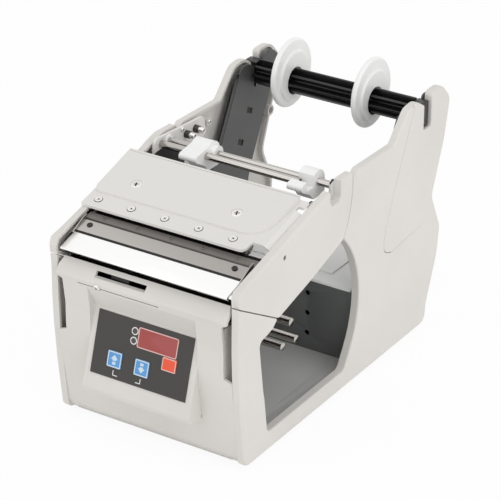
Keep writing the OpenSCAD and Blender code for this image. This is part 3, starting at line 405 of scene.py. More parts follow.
def distanceTo(points, starts, ends):  # from each point to the nearest of the line pieces
    along = ends - starts
    t = ((points[:, None] - starts) * along).sum(-1) / np.maximum((along * along).sum(-1), 1e-9)
    foot = starts + np.clip(t, 0, 1)[..., None] * along
    return np.linalg.norm(points[:, None] - foot, axis=-1).min(1)


def armZ(y):  # height of the arms' top edge
    return armStart[1] + armSlope * (y - armStart[0])


armTilt = math.atan(armSlope)
armOut = (0, -math.sin(armTilt), math.cos(armTilt))
panelTilt = math.atan(20.8 / 69)  # the panel leans back 20.8 mm in 69
panelOut = (0, -math.cos(panelTilt), math.sin(panelTilt))
panelSpot = (0, -0.991, 85)


# Moulded shells are the CAD solids with the rounded edges that their mould gives
def mergedNode(nodeName):  # the node's loose triangles joined and its flat faces made whole
    shape = bmesh.new()
    shape.from_mesh(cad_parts[nodeName].data)
    bmesh.ops.remove_doubles(shape, verts=shape.verts, dist=joinGap)
    bmesh.ops.dissolve_limit(shape, angle_limit=flatAngle, verts=shape.verts, edges=shape.edges)
    return shape


coverEdge = {
    "skin": 95.0, "faceGap": 0.05, "rimStep": 2.0,  # mm
    "radius": 2.8, "seam": 0.7, "seamReach": 1.1, "smoothing": 4,
    "zones": [  # y from and to, z from and to, radius: the opening, the fork, the rods' slot
        (40, 200, 14, 160, 1.8), (299, 317, 197, 231, 1.6), (139, 160, 186, 400, 0.9)],
    "screwHole": (68.8, 172.5, 4, 0.3),  # y, z, reach, radius
    "nose": (10, 148, 1.5),  # y to, z from, radius
    "levels": [0.076, 0.293, 0.617, 1.0],  # share of the radius, a quarter circle in four equal turns
    "grooveFloor": 94.4, "grooveDepth": 0.5, "grooveHalf": 0.42, "shadeHalf": 0.33,
    "lineStep": 1.5, "lineOffsets": (-0.55, -0.3, 0.3, 0.55), "lineClear": 0.5,
    "sliver": 0.0002,  # mm2; a smaller face along a straight rim is left out
    "line": [(284, 231), (270, 201.7), (256, 171), (243.5, 144), (238.6, 131), (236.0, 121), (235.2, 113),
             (236.6, 107.8), (240.2, 104.4), (245.5, 102.3), (251, 100.8)],
    "covers": {  # piece: CAD node, side, node across the seam
        "rightCoverShell": ("right_side_cover", 1, "right_front_arm"),
        "leftCoverShell": ("left_side_cover", -1, "left_front_arm"),
        "rightArmShell": ("right_front_arm", 1, "right_side_cover"),
        "leftArmShell": ("left_front_arm", -1, "left_side_cover"),
    },
}


def openSkin(nodeName, side):  # the cover without its outer face; its styling line is filled up first
    shape = bmesh.new()
    shape.from_mesh(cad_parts[nodeName].data)
    for v in shape.verts:
        if abs(abs(v.co.x) - coverEdge["grooveFloor"] * mm) < coverEdge["faceGap"] * mm:
            v.co.x = side * coverEdge["skin"] * mm
    bmesh.ops.remove_doubles(shape, verts=shape.verts, dist=joinGap)
    bmesh.ops.dissolve_limit(shape, angle_limit=flatAngle, verts=shape.verts, edges=shape.edges)
    limit = (coverEdge["skin"] - coverEdge["faceGap"]) * mm
    outer = [f for f in shape.faces if all(abs(v.co.x) > limit for v in f.verts)]
    bmesh.ops.delete(shape, geom=outer, context="FACES")
    for edge in [e for e in shape.edges if len(e.link_faces) == 1]:
        parts = math.ceil(edge.calc_length() / (coverEdge["rimStep"] * mm))
        vert = edge.verts[0]
        for k in range(parts - 1):
            edge, vert = bmesh.utils.edge_split(edge, vert, 1 / (parts - k))
            edge = next(e for e in vert.link_edges if e is not edge and len(e.link_faces) == 1)
    return shape


def rimLoops(shape):  # the open rim's points, in order round each loop
    left = {v for e in shape.edges if len(e.link_faces) == 1 for v in e.verts}
    loops = []
    while left:
        start = vert = min(left, key=lambda v: tuple(v.co))
        loop = []
        while vert is not None:
            loop.append(vert)
            left.discard(vert)
            ahead = [e.other_vert(vert) for e in vert.link_edges if len(e.link_faces) == 1]
            vert = next((v for v in ahead if v in left), None)
        loops.append(loop)
    return loops


def rimOf(nodeName, side):  # the rim as (y, z) pieces, for the distance from a neighbour
    shape = openSkin(nodeName, side)
    loops = [machine([v.co for v in loop])[:, 1:] for loop in rimLoops(shape)]
    shape.free()
    return np.concatenate(loops), np.concatenate([np.roll(loop, -1, 0) for loop in loops])


def rimRadii(points, neighbour):  # a radius per rim point by its zone, each evened with its neighbours
    y, z = points.T
    radii = np.full(len(points), coverEdge["radius"])
    for y0, y1, z0, z1, radius in coverEdge["zones"]:
        radii[(y > y0) & (y < y1) & (z > z0) & (z < z1)] = radius
    holeY, holeZ, reach, radius = coverEdge["screwHole"]
    radii[np.hypot(y - holeY, z - holeZ) < reach] = radius
    noseY, noseZ, radius = coverEdge["nose"]
    radii[(y < noseY) & (z > noseZ)] = radius
    radii[distanceTo(points, *neighbour) < coverEdge["seamReach"]] = coverEdge["seam"]
    for again in range(coverEdge["smoothing"]):
        radii = radii / 2 + (np.roll(radii, 1) + np.roll(radii, -1)) / 4
    return radii


def nearest(points, starts, ends, values):  # distance to the nearest line piece, and its value there
    along = ends - starts
    t = ((points[:, None] - starts) * along).sum(-1) / np.maximum((along * along).sum(-1), 1e-9)
    t = np.clip(t, 0, 1)
    gap = np.linalg.norm(points[:, None] - starts - t[..., None] * along, axis=-1)
    best = gap.argmin(1)
    rows = np.arange(len(points))
    t = t[rows, best]
    return gap[rows, best], values[0][best] * (1 - t) + values[1][best] * t


def insideOf(points, starts, ends):  # even-odd rule along z
    y, z = points[:, None, 0], points[:, None, 1]
    crosses = (starts[:, 0] > y) != (ends[:, 0] > y)
    run = np.where(ends[:, 0] == starts[:, 0], 1.0, ends[:, 0] - starts[:, 0])
    height = starts[:, 1] + (y - starts[:, 0]) * (ends[:, 1] - starts[:, 1]) / run
    return (crosses & (z < height)).sum(1) % 2 == 1


def makeCovers():
    # The skin drops by R - sqrt(R^2 - (R - d)^2) at a distance d from the rim, a quarter circle of radius R
    for name, (nodeName, side, other) in coverEdge["covers"].items():
        neighbour = rimOf(other, side)
        shape = openSkin(nodeName, side)
        loops = rimLoops(shape)
        rims = [machine([v.co for v in loop])[:, 1:] for loop in loops]
        radii = [rimRadii(rim, neighbour) for rim in rims]
        starts, ends = np.concatenate(rims), np.concatenate([np.roll(rim, -1, 0) for rim in rims])
        values = np.concatenate(radii), np.concatenate([np.roll(r, -1) for r in radii])
        inner = []
        for rim, radius in zip(rims, radii):
            along = np.roll(rim, -1, 0) - rim
            normal = np.stack([-along[:, 1], along[:, 0]], -1) / np.linalg.norm(along, axis=1)[:, None]
            normal = normal + np.roll(normal, 1, 0)
            normal /= np.linalg.norm(normal, axis=1)[:, None]
            probe = insideOf(rim + normal * coverEdge["faceGap"], starts, ends)
            normal *= np.where(probe, 1, -1)[:, None]
            for level in coverEdge["levels"]:
                spot = rim + normal * (level * radius)[:, None]
                gap = nearest(spot, starts, ends, values)[0]
                inner.append(spot[(gap > 0.95 * level * radius) & insideOf(spot, starts, ends)])
        path = np.array(coverEdge["line"], float)
        run = np.r_[0, np.cumsum(np.linalg.norm(np.diff(path, axis=0), axis=1))]
        t = np.arange(0, run[-1], coverEdge["lineStep"])
        line = np.stack([np.interp(t, run, path[:, k]) for k in (0, 1)], -1)
        lineNormal = np.gradient(line, axis=0) @ np.array([[0, 1], [-1, 0]])
        lineNormal /= np.linalg.norm(lineNormal, axis=1)[:, None]
        hasLine = "side_cover" in nodeName
        if hasLine:
            for offset in coverEdge["lineOffsets"]:
                spot = line + offset * lineNormal
                gap = nearest(spot, starts, ends, values)[0]
                inner.append(spot[insideOf(spot, starts, ends) & (gap > coverEdge["lineClear"])])
        inner = np.concatenate(inner)
        gap, radius = nearest(inner, starts, ends, values)
        reach = np.clip(radius - gap, 0, radius)
        drop = radius - np.sqrt(radius ** 2 - reach ** 2)
        if hasLine:
            inGroove = distanceTo(inner, line[:-1], line[1:]) < coverEdge["grooveHalf"]
            drop += coverEdge["grooveDepth"] * inGroove
        rimVerts = [v for loop in loops for v in loop]
        flat = np.concatenate([starts, inner])
        fixed, count = [], 0
        for rim in rims:
            fixed += [(count + k, count + (k + 1) % len(rim)) for k in range(len(rim))]
            count += len(rim)
        skin = delaunay_2d_cdt([Vector(q) for q in flat], fixed, [], 0, 1e-5)
        verts2, faces2, origin = skin[0], skin[2], skin[3]
        for v, radius in zip(rimVerts, values[0]):
            v.co.x = side * (coverEdge["skin"] - radius) * mm
        corner = place(np.c_[side * (coverEdge["skin"] - drop), inner])
        made = rimVerts + [shape.verts.new(q) for q in corner]
        chosen = [made[ids[0]] if ids else None for ids in origin]
        faces2 = [f for f in faces2 if all(chosen[k] is not None for k in f)]
        corners = np.array([tuple(v) for v in verts2])[np.array(faces2)]
        wide, tall = corners[:, 1] - corners[:, 0], corners[:, 2] - corners[:, 0]
        real = abs(wide[:, 0] * tall[:, 1] - wide[:, 1] * tall[:, 0]) > coverEdge["sliver"]
        middle = corners.mean(1)
        keep = real & insideOf(middle, starts, ends)
        # faces along the styling line take the darker material: painted shade in the groove
        shade = (distanceTo(middle, line[:-1], line[1:]) < coverEdge["shadeHalf"]) & hasLine
        for f, kept, shaded in zip(faces2, keep, shade):
            if kept:
                shape.faces.new([chosen[k] for k in f]).material_index = int(shaded)
        bmesh.ops.recalc_face_normals(shape, faces=shape.faces)
        evenShading(finishPiece(name, meshOf(shape, name), ["coverAbs", "grooveShade"], "chassis",
                                [nodeName], 32))
    print("covers made")


makeCovers()


edgeRadii = {  # mm that a mould rounds each kind of edge, and where
    "housing": {"front": 0.9, "frontTo": 9, "slot": 0.2, "slotHalf": 64, "slotFrom": 133, "slotTo": 151,
                "panelHalf": 50, "panelFrom": 58, "panelTo": 112},
    "lid": {"field": 1.4, "fieldFrom": 3.2, "plain": 0.6, "screw": 0.12, "screwReach": 6,
            "screwX": (-63, 39), "screwY": 83, "back": 0.25, "backFrom": 116},
    "guide": {"plain": 2.4, "bore": 0.25, "boreReach": 3.8},
    "flange": {"plain": 0.8, "bore": 0.4, "boreReach": 13.5},
    "most": 3.0,
}


def housingRadii(middle):  # middle: the middle points of the edges
    x, y, z = middle.T
    e = edgeRadii["housing"]
    radii = np.where(y < e["frontTo"], e["front"], 0.0)
    radii[(np.abs(x) < e["slotHalf"]) & (z > e["slotFrom"]) & (z < e["slotTo"])] = e["slot"]
    radii[(np.abs(x) < e["panelHalf"]) & (z > e["panelFrom"]) & (z < e["panelTo"])] = 0.0
    return radii


def lidRadii(middle):
    x, y, z = middle.T
    e = edgeRadii["lid"]
    radii = np.where(z - armZ(y) > e["fieldFrom"], e["field"], e["plain"])
    for screwX in e["screwX"]:
        radii[np.hypot(x - screwX, y - e["screwY"]) < e["screwReach"]] = e["screw"]
    radii[y > e["backFrom"]] = e["back"]
    return radii


def guideRadii(middle):
    e = edgeRadii["guide"]
    bore = np.minimum(*[np.hypot(middle[:, 1] - y, middle[:, 2] - z) for y, z in rodSpots])
    return np.where(bore < e["boreReach"], e["bore"], e["plain"])


def flangeRadii(middle):
    e = edgeRadii["flange"]
    bore = np.hypot(middle[:, 1] - axleSpot[0], middle[:, 2] - axleSpot[1])
    return np.where(bore < e["boreReach"], e["bore"], e["plain"])


shells = {  # piece: CAD node, material, body, slot, radii of its edges
    "frontHousingShell": ("front_housing", "coverAbs", "chassis", "cover_plastic", housingRadii),
    "lidShell": ("lid_cover", "lidPaint", "lid", "lid_plastic", lidRadii),
    "leftGuideBody": ("left_guide", "whiteAcetal", "left_guide", "white_plastic", guideRadii),
    "rightGuideBody": ("right_guide", "whiteAcetal", "right_guide", "white_plastic", guideRadii),
    "leftFlangeDisc": ("left_flange", "whiteAcetal", "left_flange", "white_plastic", flangeRadii),
    "rightFlangeDisc": ("right_flange", "whiteAcetal", "right_flange", "white_plastic", flangeRadii),
}


def makeShells():  # each edge is rounded by its share of the largest radius
    most = edgeRadii["most"]
    for name, (nodeName, look, body, slot, radiusOf) in shells.items():
        shape = mergedNode(nodeName)
        weights = shape.edges.layers.float.new("bevel_weight_edge")
        edges = [e for e in shape.edges
                 if len(e.link_faces) == 2 and e.calc_face_angle() > math.radians(foldAngle)]
        a = machine([e.verts[0].co for e in edges])
        b = machine([e.verts[1].co for e in edges])
        for edge, radius in zip(edges, np.minimum(radiusOf((a + b) / 2), most)):
            edge[weights] = radius / most
        piece = finishPiece(name, meshOf(shape, name), [look], body, [nodeName], foldAngle)
        bevel = piece.modifiers.new("mouldRadius", "BEVEL")
        bevel.width, bevel.segments, bevel.limit_method = most * mm, 4, "WEIGHT"
        bevel.use_clamp_overlap, bevel.harden_normals = True, False
        evenShading(piece)
    print("moulded shells made")


makeShells()


# The other CAD nodes keep their shape, and get a material and broken edges
finishes = {  # material: its CAD nodes, each with the radius of its edges in mm
    "chassisBlackLit": {"left_upright": 0, "right_upright": 0},
    "wallGrey": {"rear_wall": 0.3},
    "deckEnamel": {"deck_strip": 0.3},
    "lidPaint": {"rod_plate": 0.3, "lid_cover": 0},
    "sidePlateShadedTop": {"left_side_plate": 0.25, "right_feed_plate": 0.25},
    "boxPaint": {"rear_box_cover": 0.4},
    "floorSheet": {"base_plate": 0.4},
    "polishedPlate": {"peel_plate": 0.2},
    "brushedPlate": {"guide_plate": 0.2, "lid_frame": 0.3, "power_supply": 0.4},
    "groundRod": {"front_rod": 0.4, "rear_rod": 0.3, "rewind_hub": 0.5, "feed_shaft": 0.3,
        "pinch_roller": 0.2, "lid_hinge_pin": 0.2},
    "blackAnodised": {"roll_axle": 0.45},
    "blackMoulding": {"power_inlet": 0.4, "power_switch": 0.4, "switch_rocker": 0.4,
        "sensor_carriage": 0.3, "feed_pulley": 0.3, "motor_pulley": 0.3, "rewind_pulley": 0.4,
        "motor": 0.6},
    "blackRubber": {"feet": 0.6, "feed_roller": 0.3, "feed_belt": 0.1, "rewind_belt": 0.1},
    "membraneFilm": {"membrane": 0},
    "redWindow": {"display_window": 0.25},
    "clearLens": {"led_lenses": 0.2},
    "keyBlue": {"up_key": 0.35, "down_key": 0.35},
    "keyOrange": {"reset_key": 0.35},
    "laminateGreen": {"control_board": 0.1, "main_board": 0.2},
    "turnedBrass": {"board_standoffs": 0.2, "rewind_bearing": 0.2},
    "zincScrew": {"foot_screws": 0.2, "cover_screws": 0.2, "lid_screws": 0.2, "lip_screws": 0.2,
        "sensor_screw": 0.2, "rod_standoffs": 0.2},
    "darkScrew": {"deck_screws": 0.2},
    "blackOxide": {"plate_screws": 0.2},
    "coverAbs": {"left_side_cover": 0, "right_side_cover": 0, "left_front_arm": 0, "right_front_arm": 0,
        "front_housing": 0},
    "whiteAcetal": {"left_guide": 0, "right_guide": 0, "left_flange": 0, "right_flange": 0},
}


def dressNodes():
    rows = [(node, look, radius) for look, nodes in finishes.items() for node, radius in nodes.items()]
    for nodeName, look, radius in rows:
        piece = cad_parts[nodeName]
        piece.data.materials.clear()
        piece.data.materials.append(materials[look])
        if not radius:
            continue
        piece.data.polygons.foreach_set("use_smooth", [True] * len(piece.data.polygons))
        weld = piece.modifiers.new("weld", "WELD")
        weld.merge_threshold = joinGap
        whole = piece.modifiers.new("wholeFaces", "DECIMATE")
        whole.decimate_type, whole.angle_limit = "DISSOLVE", flatAngle
        breakEdges(piece, radius)
    print("nodes dressed")


dressNodes()


# Height over a polar grid: a crown that falls towards the rim, less the pressed drive recess
def screwHead(s):
    turn = np.linspace(0, 2 * np.pi, 64, endpoint=False)[None, :]
    t = np.linspace(0, 1, 24)[:, None]
    u, v = s["radius"] * t * np.cos(turn), s["radius"] * t * np.sin(turn)
    across, along = np.minimum(abs(u), abs(v)), np.maximum(abs(u), abs(v))
    if s["drive"] == "slot":
        across, along = abs(v), abs(u)
    pit = softStep((s["armWidth"] / 2 - across) / 0.2 + 0.5)
    pit = pit * softStep((s["armLength"] - along) / 0.3 + 0.5)
    z = s["height"] - s["crown"] * t ** s["dome"] - s["depth"] * pit
    rows = np.stack([u, v, z], -1)
    rim = np.stack([u[-1:], v[-1:], 0 * z[-1:]], -1)
    points = np.concatenate([rows, rim, rim * (0, 0, 1)])
    quads = gridQuads(len(points), 64)
    # faces inside the recess take the second material: painted shade in the recess
    inPit = pit.reshape(-1) > 0.5
    inPit = np.concatenate([inPit, np.zeros(128, bool)])
    return points.reshape(-1, 3), quads, inPit[quads].mean(1) > 0.6


def lidSpot(x, y, lift):  # a place on the lid's sloping field
    return (x, y, 204.5 - 0.30 * (120 - y) + lift)


screwSets = {
    "lidScrewHeads": {
        "hides": ["lid_screws"], "body": "lid", "looks": ["zincScrew", "recessShade"],
        "radius": 4.75, "height": 1.5, "crown": 0.3, "dome": 3, "drive": "cross", "armWidth": 1.3,
        "armLength": 2.7, "depth": 0.9, "turn": 20,
        "spots": [(lidSpot(x, 83, -1.55), (0, -0.30, 1)) for x in (-63, 39)]},
    "lipScrewHeads": {
        "hides": ["lip_screws"], "body": "lid", "looks": ["zincScrew", "recessShade"],
        "radius": 3.4, "height": 0.7, "crown": 0.22, "dome": 3, "drive": "cross", "armWidth": 0.8,
        "armLength": 1.7, "depth": 0.5, "turn": 60,
        "spots": [((x, 55.5, armZ(55.5) + 2.58), armOut) for x in (-83, -49, -15, 19, 53)]},
    "deckScrewHeads": {
        "hides": ["deck_screws"], "body": "chassis", "looks": ["darkScrew", "recessShade"],
        "radius": 1.9, "height": 1.0, "crown": 0.5, "dome": 3, "drive": "cross", "armWidth": 0.7,
        "armLength": 1.2, "depth": 0.5, "turn": 30,
        "spots": [((x, 42.8, armZ(42.8) - 3.48), armOut) for x in (-68, -34, 0, 32, 66)]},
    "plateScrewHeads": {
        "hides": ["plate_screws"], "body": "chassis", "looks": ["blackOxide", "recessShade"],
        "radius": 2.6, "height": 1.0, "crown": 0.4, "dome": 3, "drive": "cross", "armWidth": 0.9,
        "armLength": 1.5, "depth": 0.5, "turn": 10,
        "spots": [((x, 31.5, 169 + armSlope * 10.5 + 0.42), (0, -0.272, 1)) for x in (-75, 70)]},
    "armScrewHeads": {
        "hides": ["cover_screws"], "body": "chassis", "looks": ["darkScrew", "recessShade"],
        "radius": 1.8, "height": 2.1, "crown": 0.3, "dome": 3, "drive": "slot", "armWidth": 0.7,
        "armLength": 1.7, "depth": 0.8, "turn": 62,
        "spots": [((s * 92.4, 68.8, 172.5), (s, 0, 0)) for s in (-1, 1)]},
    "lipPanScrew": {
        "hides": ["sensor_screw"], "body": "chassis", "looks": ["zincScrew", "recessShade"],
        "radius": 3.2, "height": 2.3, "crown": 1.4, "dome": 2.4, "drive": "cross", "armWidth": 0.9,
        "armLength": 1.5, "depth": 0.8, "turn": 15,
        "spots": [((-43, -4.02, 137.5), (0, -7, -2))]},
}


def makeScrews():
    for name, s in screwSets.items():
        points, quads, inPit = screwHead(s)
        c, d = math.cos(math.radians(s["turn"])), math.sin(math.radians(s["turn"]))
        points = points @ np.array([[c, d, 0], [-d, c, 0], [0, 0, 1]])
        parts = [(seat(points, spot, outward), quads) for spot, outward in s["spots"]]
        allPoints, allFaces = joined(parts)
        addPiece(name, allPoints, allFaces, s["looks"], s["body"], s["hides"],
                 np.tile(inPit, len(parts)).astype(int))
    print("screws made")


makeScrews()

# Ink on the membrane and the keys, x and y in mm from the panel's middle
panelInk = {
    "lensRings": {"spots": [(-10.2, 18.2), (-10.2, 9.8)], "outer": 3.4, "inner": 2.1},
    "border": {"x": 13.5, "y": 14.1, "w": 38.1, "h": 16.0, "outer": 1.7, "inner": -0.1,  # added to w and h
               "outerRound": 1.6, "innerRound": 0.9, "top": 1.14},
    "brackets": [  # corner marks below the two blue keys, (x, y) of the line's three points
        [(-25.6, -20.4), (-25.6, -24.6), (-21.0, -24.6)], [(2.0, -20.4), (2.0, -24.6), (-2.6, -24.6)]],
    "inkWidth": 0.7, "inkLow": 0.81, "inkHigh": 0.9,
}
keyInk = {
    "upKeyInk": {"body": "up_key", "x": -25.6, "y": -11.0, "w": 14.0, "h": 14.0, "line": 1.0,
                 "look": "paleBlue", "slot": "key_blue", "arrow": 1},
    "downKeyInk": {"body": "down_key", "x": 2.0, "y": -11.0, "w": 14.0, "h": 14.0, "line": 1.0,
                   "look": "paleBlue", "slot": "key_blue", "arrow": -1},
    "resetKeyInk": {"body": "reset_key", "x": 27.8, "y": -0.9, "w": 14.0, "h": 11.5, "line": 0.9,
                    "look": "paleRed", "slot": "key_orange", "arrow": 0},
}
keyFace = {  # mm above the panel, and how far the ink sinks in and stands up
    "top": 1.82, "sunk": 0.02, "raised": 0.06, "margin": 0.3, "outerRound": 1.0, "innerRound": 0.5,
    "arrowHead": [(0, 4.2), (3.6, 0.2), (1.7, 0.2), (1.7, -1.0), (-1.7, -1.0), (-1.7, 0.2), (-3.6, 0.2)],
    "arrowBase": [(1.7, -2.0), (1.7, -4.4), (-1.7, -4.4), (-1.7, -2.0)],
}


# An L-shaped stroke, its corner mitred by moving both sides half a width
def strokeLoop(path, width):
    (x0, y0), (x1, y1), (x2, y2) = path
    h, s = width / 2, 1 if x2 > x1 else -1
    return [(x0 - s * h, y0), (x0 + s * h, y0), (x0 + s * h, y1 + h), (x2, y2 + h), (x2, y2 - h),
            (x0 - s * h, y1 - h)]


def circle(radius, count):  # points round the origin, the first on the x axis
    turn = np.linspace(0, 2 * np.pi, count, endpoint=False)
    return radius * np.stack([np.cos(turn), np.sin(turn)], -1)


def makePanelInk():
    low, high = panelInk["inkLow"], panelInk["inkHigh"]
    lens = panelInk["lensRings"]
    rings = [ring(circle(lens["outer"], 40) + spot, circle(lens["inner"], 40) + spot, low, high)
             for spot in lens["spots"]]
    marks = [slab(strokeLoop(path, panelInk["inkWidth"]), low, high) for path in panelInk["brackets"]]
    points, faces = joined(rings + marks)
    addPiece("membraneInk", seat(points, panelSpot, panelOut), faces, ["whiteInk"], "chassis")
    b = panelInk["border"]
    border = ring(roundedLoop(b["w"] + b["outer"], b["h"] + b["outer"], b["outerRound"], b["x"], b["y"]),
                  roundedLoop(b["w"] + b["inner"], b["h"] + b["inner"], b["innerRound"], b["x"], b["y"]),
                  low, b["top"])
    addPiece("windowBorder", seat(border[0], panelSpot, panelOut), border[1], ["paleRed"], "chassis")
    low, high = keyFace["top"] - keyFace["sunk"], keyFace["top"] + keyFace["raised"]
    for name, k in keyInk.items():
        w, h = k["w"] - keyFace["margin"], k["h"] - keyFace["margin"]
        line = 2 * k["line"]
        parts = [ring(roundedLoop(w, h, keyFace["outerRound"], k["x"], k["y"]),
                      roundedLoop(w - line, h - line, keyFace["innerRound"], k["x"], k["y"]), low, high)]
        if k["arrow"]:
            for part in ("arrowHead", "arrowBase"):
                loop = np.array(keyFace[part]) * (1, k["arrow"]) + (k["x"], k["y"])
                parts.append(slab(loop, low, high))
        points, faces = joined(parts)
        addPiece(name, seat(points, panelSpot, panelOut), faces, [k["look"]], k["body"])
    print("panel ink made")


makePanelInk()


# Standoffs, washer and screws on the rod plate
rodPlateParts = {
    "face": -82.2, "nuts": [(187, 196), (201.4, 196)], "nutRadius": 4.0, "nutLength": 4.6,
    "barrelRadius": 2.7, "barrelLength": 5.3, "hole": 1.5,
    "washer": {"y": 159.5, "z": 200, "outer": 5.6, "inner": 3.3, "thickness": 1.3},
    "screws": [(-82.2, 181.4, 202.4), (-87.2, 232, 190)],
    "shade": [(138, 168), (138, 195.5), (152, 196.6), (166, 194.5), (184, 182), (184, 168)],  # (y, z)
    "shadeFaces": (-82.25, -81.95),
    "head": {"radius": 2.5, "height": 1.8, "crown": 1.1, "dome": 2.4, "drive": "cross", "armWidth": 0.8,
             "armLength": 1.3, "depth": 0.7},
}


# Six flats: the radius grows towards each corner, and a cone cuts the corners at both ends
def hexNut(radius, length):
    turn = np.linspace(0, 2 * np.pi, 96, endpoint=False)[None, :]
    flat = radius * math.cos(math.pi / 6) / np.cos((turn + math.pi / 6) % (math.pi / 3) - math.pi / 6)
    rows = [(0, 0), (0.94, 0), (1.0, 0.4), (1.0, length - 0.4), (0.94, length), (0, length)]
    points = [np.stack([r * np.cos(turn), r * np.sin(turn), z + 0 * turn], -1)
              for r, z in ((np.minimum(flat, radius * share) if share else 0 * flat, z) for share, z in rows)]
    return np.concatenate(points), gridQuads(len(rows), 96)


def makeRodPlateParts(s):
    parts = []
    for y, z in s["nuts"]:
        nut, nutFaces = hexNut(s["nutRadius"], s["nutLength"])
        parts.append((seat(nut, (s["face"], y, z), (1, 0, 0)), nutFaces))
        low, high = s["nutLength"] - 0.1, s["nutLength"] + s["barrelLength"]
        r, h = s["barrelRadius"], s["hole"]
        barrel, barrelFaces = turned([(0, low), (r, low), (r, high - 0.4), (r - 0.4, high), (h + 0.3, high),
                                      (h, high - 0.3), (h, high - 3), (0, high - 3)])
        parts.append((seat(barrel, (s["face"], y, z), (1, 0, 0)), barrelFaces))
    points, faces = joined(parts)
    marks = [int(k % 2 == 0) for k, part in enumerate(parts) for face in part[1]]  # nut, barrel, nut, barrel
    addPiece("hexStandoffs", points, faces, ["zincScrew", "darkNut"], "chassis",
             ["rod_standoffs"], marks)
    # a black sheet on the plate below the rods: painted shade
    shade = slab(s["shade"], *s["shadeFaces"])
    addPiece("rodPlateShade", shade[0][:, [2, 0, 1]], shade[1], ["gapShadeBlack"], "chassis")
    w = s["washer"]
    disc, discFaces = turned([(w["inner"], 0), (w["outer"], 0), (w["outer"], w["thickness"] - 0.3),
                              (w["outer"] - 0.3, w["thickness"]), (w["inner"], w["thickness"]),
                              (w["inner"], 0)])
    addPiece("rodWasher", seat(disc, (s["face"], w["y"], w["z"]), (1, 0, 0)), discFaces, ["whiteAcetal"],
             "chassis")
    points, quads, inPit = screwHead(s["head"])
    allPoints, allFaces = joined([(seat(points, spot, (1, 0, 0)), quads) for spot in s["screws"]])
    addPiece("plateWallScrews", allPoints, allFaces, ["zincScrew", "recessShade"], "chassis",
             marks=np.tile(inPit, len(s["screws"])).astype(int))
    print("rod plate parts made")


makeRodPlateParts(rodPlateParts)


# Dark sheets behind the lip and below the plates' seam, and dark rings round the lip's screws: painted shade
# in gaps
throat = {
    "half": 80.0, "sheet": 0.6,
    "path": [(-0.4, 134.6), (24.2, 134.6), (24.2, 163.4)],  # (y, z) of the outside
    "cheekTop": [(20.2, 163.4), (8.6, 150), (-1.2, 140)],  # (y, z) of the end walls' sloping side
    "seam": [(20.5, 168.4), (20.8, 168.7), (22.9, 169.36), (23.2, 169.2), (23.0, 168.9), (20.7, 168.2)],
    "seamHalf": 82.8,
    "backing": [(-0.2, 134.9), (0.4, 134.9), (0.4, 139), (-0.2, 139)], "backingEnds": (-72, 5),
    "lipGapOuter": 3.85, "lipGapInner": 3.3, "lipGapHeight": 0.06,
}


def alongX(profile, low, high):  # a closed (y, z) outline swept from one x to the other
    points, faces = slab(profile, low, high)
    return points[:, [2, 0, 1]], faces


def makeThroat(s):
    (y0, z0), (y1, z1), (y2, z2) = s["path"]
    t, half = s["sheet"], s["half"]
    profile = [(y0, z0), (y1, z0), (y1, z2), (y1 - t, z2), (y1 - t, z0 + t), (y0, z0 + t)]
    cheek = [(y0, z0), (y1, z0), (y1, z2)] + s["cheekTop"]
    points, faces = joined([alongX(profile, -half, half), alongX(cheek, -half, t - half),
                            alongX(cheek, half - t, half), alongX(s["backing"], *s["backingEnds"])])
    addPiece("throatSheet", points, faces, ["gapShadeBlack"], "chassis")
    points, faces = alongX(s["seam"], -s["seamHalf"], s["seamHalf"])
    addPiece("plateSeam", points, faces, ["gapShadeBlack"], "chassis")
    gap, gapFaces = ring(circle(s["lipGapOuter"], 48), circle(s["lipGapInner"], 48), 0, s["lipGapHeight"])
    rings = [(seat(gap, spot, outward), gapFaces) for spot, outward in screwSets["lipScrewHeads"]["spots"]]
    points, faces = joined(rings)
    addPiece("lipScrewShadowRings", points, faces, ["recessShade"], "lid")
    print("throat parts made")


makeThroat(throat)


uprightEdge = {  # glossy strip in front of the web, darker than the web as painted shade, (y, z)
    "path": [(271.8, 222), (276.6, 221), (240, 151), (222, 133.5), (216, 133.5), (235, 152)],
    "low": 83.5, "high": 85.1,  # mm from the middle; the web is cut at the second
    "radius": 0.3,
}


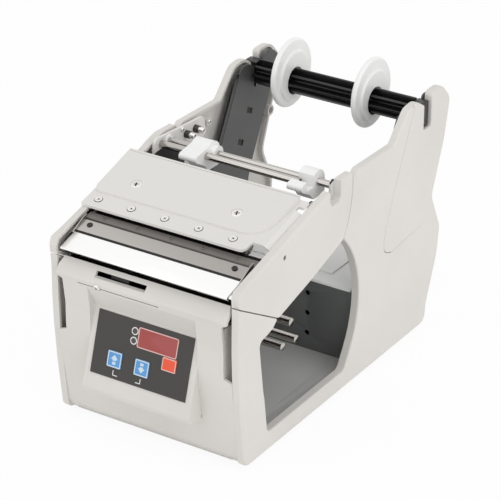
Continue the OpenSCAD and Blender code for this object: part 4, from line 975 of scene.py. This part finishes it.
def makeUprights():  # the CAD's web without what stands out past it
    for name, nodeName, side in (("rightUprightSheet", "right_upright", 1),
                                 ("leftUprightSheet", "left_upright", -1)):
        shape = mergedNode(nodeName)
        everything = shape.verts[:] + shape.edges[:] + shape.faces[:]
        cut = bmesh.ops.bisect_plane(shape, geom=everything, dist=1e-7, clear_outer=True,
                                     plane_co=(side * uprightEdge["high"] * mm, 0, 0), plane_no=(side, 0, 0))
        rim = [e for e in cut["geom_cut"] if isinstance(e, bmesh.types.BMEdge)]
        bmesh.ops.triangle_fill(shape, use_beauty=True, use_dissolve=True, edges=rim)
        bmesh.ops.recalc_face_normals(shape, faces=shape.faces)
        piece = finishPiece(name, meshOf(shape, name), ["chassisBlackLit"], "chassis",
                            [nodeName], foldAngle)
        breakEdges(piece, uprightEdge["radius"])
        edge, edgeFaces = slab(uprightEdge["path"], uprightEdge["low"], uprightEdge["high"])
        addPiece(name.replace("Sheet", "Edge"), edge[:, [2, 0, 1]] * (side, 1, 1), edgeFaces, ["chassisBlackShaded"],
                 "chassis")
    print("uprights made")


makeUprights()


film = {"w": 96.5, "h": 55.6, "arc": 3.0, "aside": 0.2, "inset": 0.05, "slack": 0.01}  # mm


def makeMembrane():  # the film's corners are square: its corner arcs are gathered into one point each
    shape = bmesh.new()
    shape.from_mesh(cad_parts["membrane"].data)
    bmesh.ops.remove_doubles(shape, verts=shape.verts, dist=joinGap)
    across = np.array([1.0, 0, 0])
    upward = np.cross(panelOut, across)
    upward = upward / np.linalg.norm(upward)
    halfW, halfH = film["w"] / 2, film["h"] / 2
    reach = film["arc"] + film["slack"]
    for v in shape.verts:
        local = machine(v.co) - panelSpot
        u, w = local @ across + film["aside"], local @ upward
        if abs(u) > halfW - reach and abs(w) > halfH - reach:
            toU = math.copysign(halfW - film["inset"], u) - u
            toW = math.copysign(halfH - film["inset"], w) - w
            v.co = Vector(np.array(v.co) + (toU * across + toW * upward) * mm)
    bmesh.ops.remove_doubles(shape, verts=shape.verts, dist=joinGap)
    bmesh.ops.recalc_face_normals(shape, faces=shape.faces)
    finishPiece("membraneSheet", meshOf(shape, "membraneSheet"), ["membraneFilm"], "chassis",
                ["membrane"], foldAngle)
    print("membrane made")


makeMembrane()

rodEnds = {  # a black disc on the front rod's end as painted shade, a clip at the rear rod's end
    "endShade": [(0, 0.1), (1.9, 0.1), (2.1, 0.22), (2.5, 0.16), (2.6, 0)], "endShadeSpot": (60, 148.5, 201),
    "clip": [(156.4, 185), (161.6, 184), (163, 186), (162.9, 203), (161.4, 205.2), (158, 205.8),
             (156.2, 204)],
    "clipLow": 84.3, "clipHigh": 85.1,
}


def makeRodEnds(s):
    points, faces = turned(s["endShade"])
    addPiece("frontRodEndShade", seat(points, s["endShadeSpot"], (1, 0, 0)), faces, ["blackOxide"], "chassis")
    points, faces = alongX(s["clip"], s["clipLow"], s["clipHigh"])
    addPiece("rearRodClip", points, faces, ["groundRod"], "chassis")
    print("rod ends made")


makeRodEnds(rodEnds)
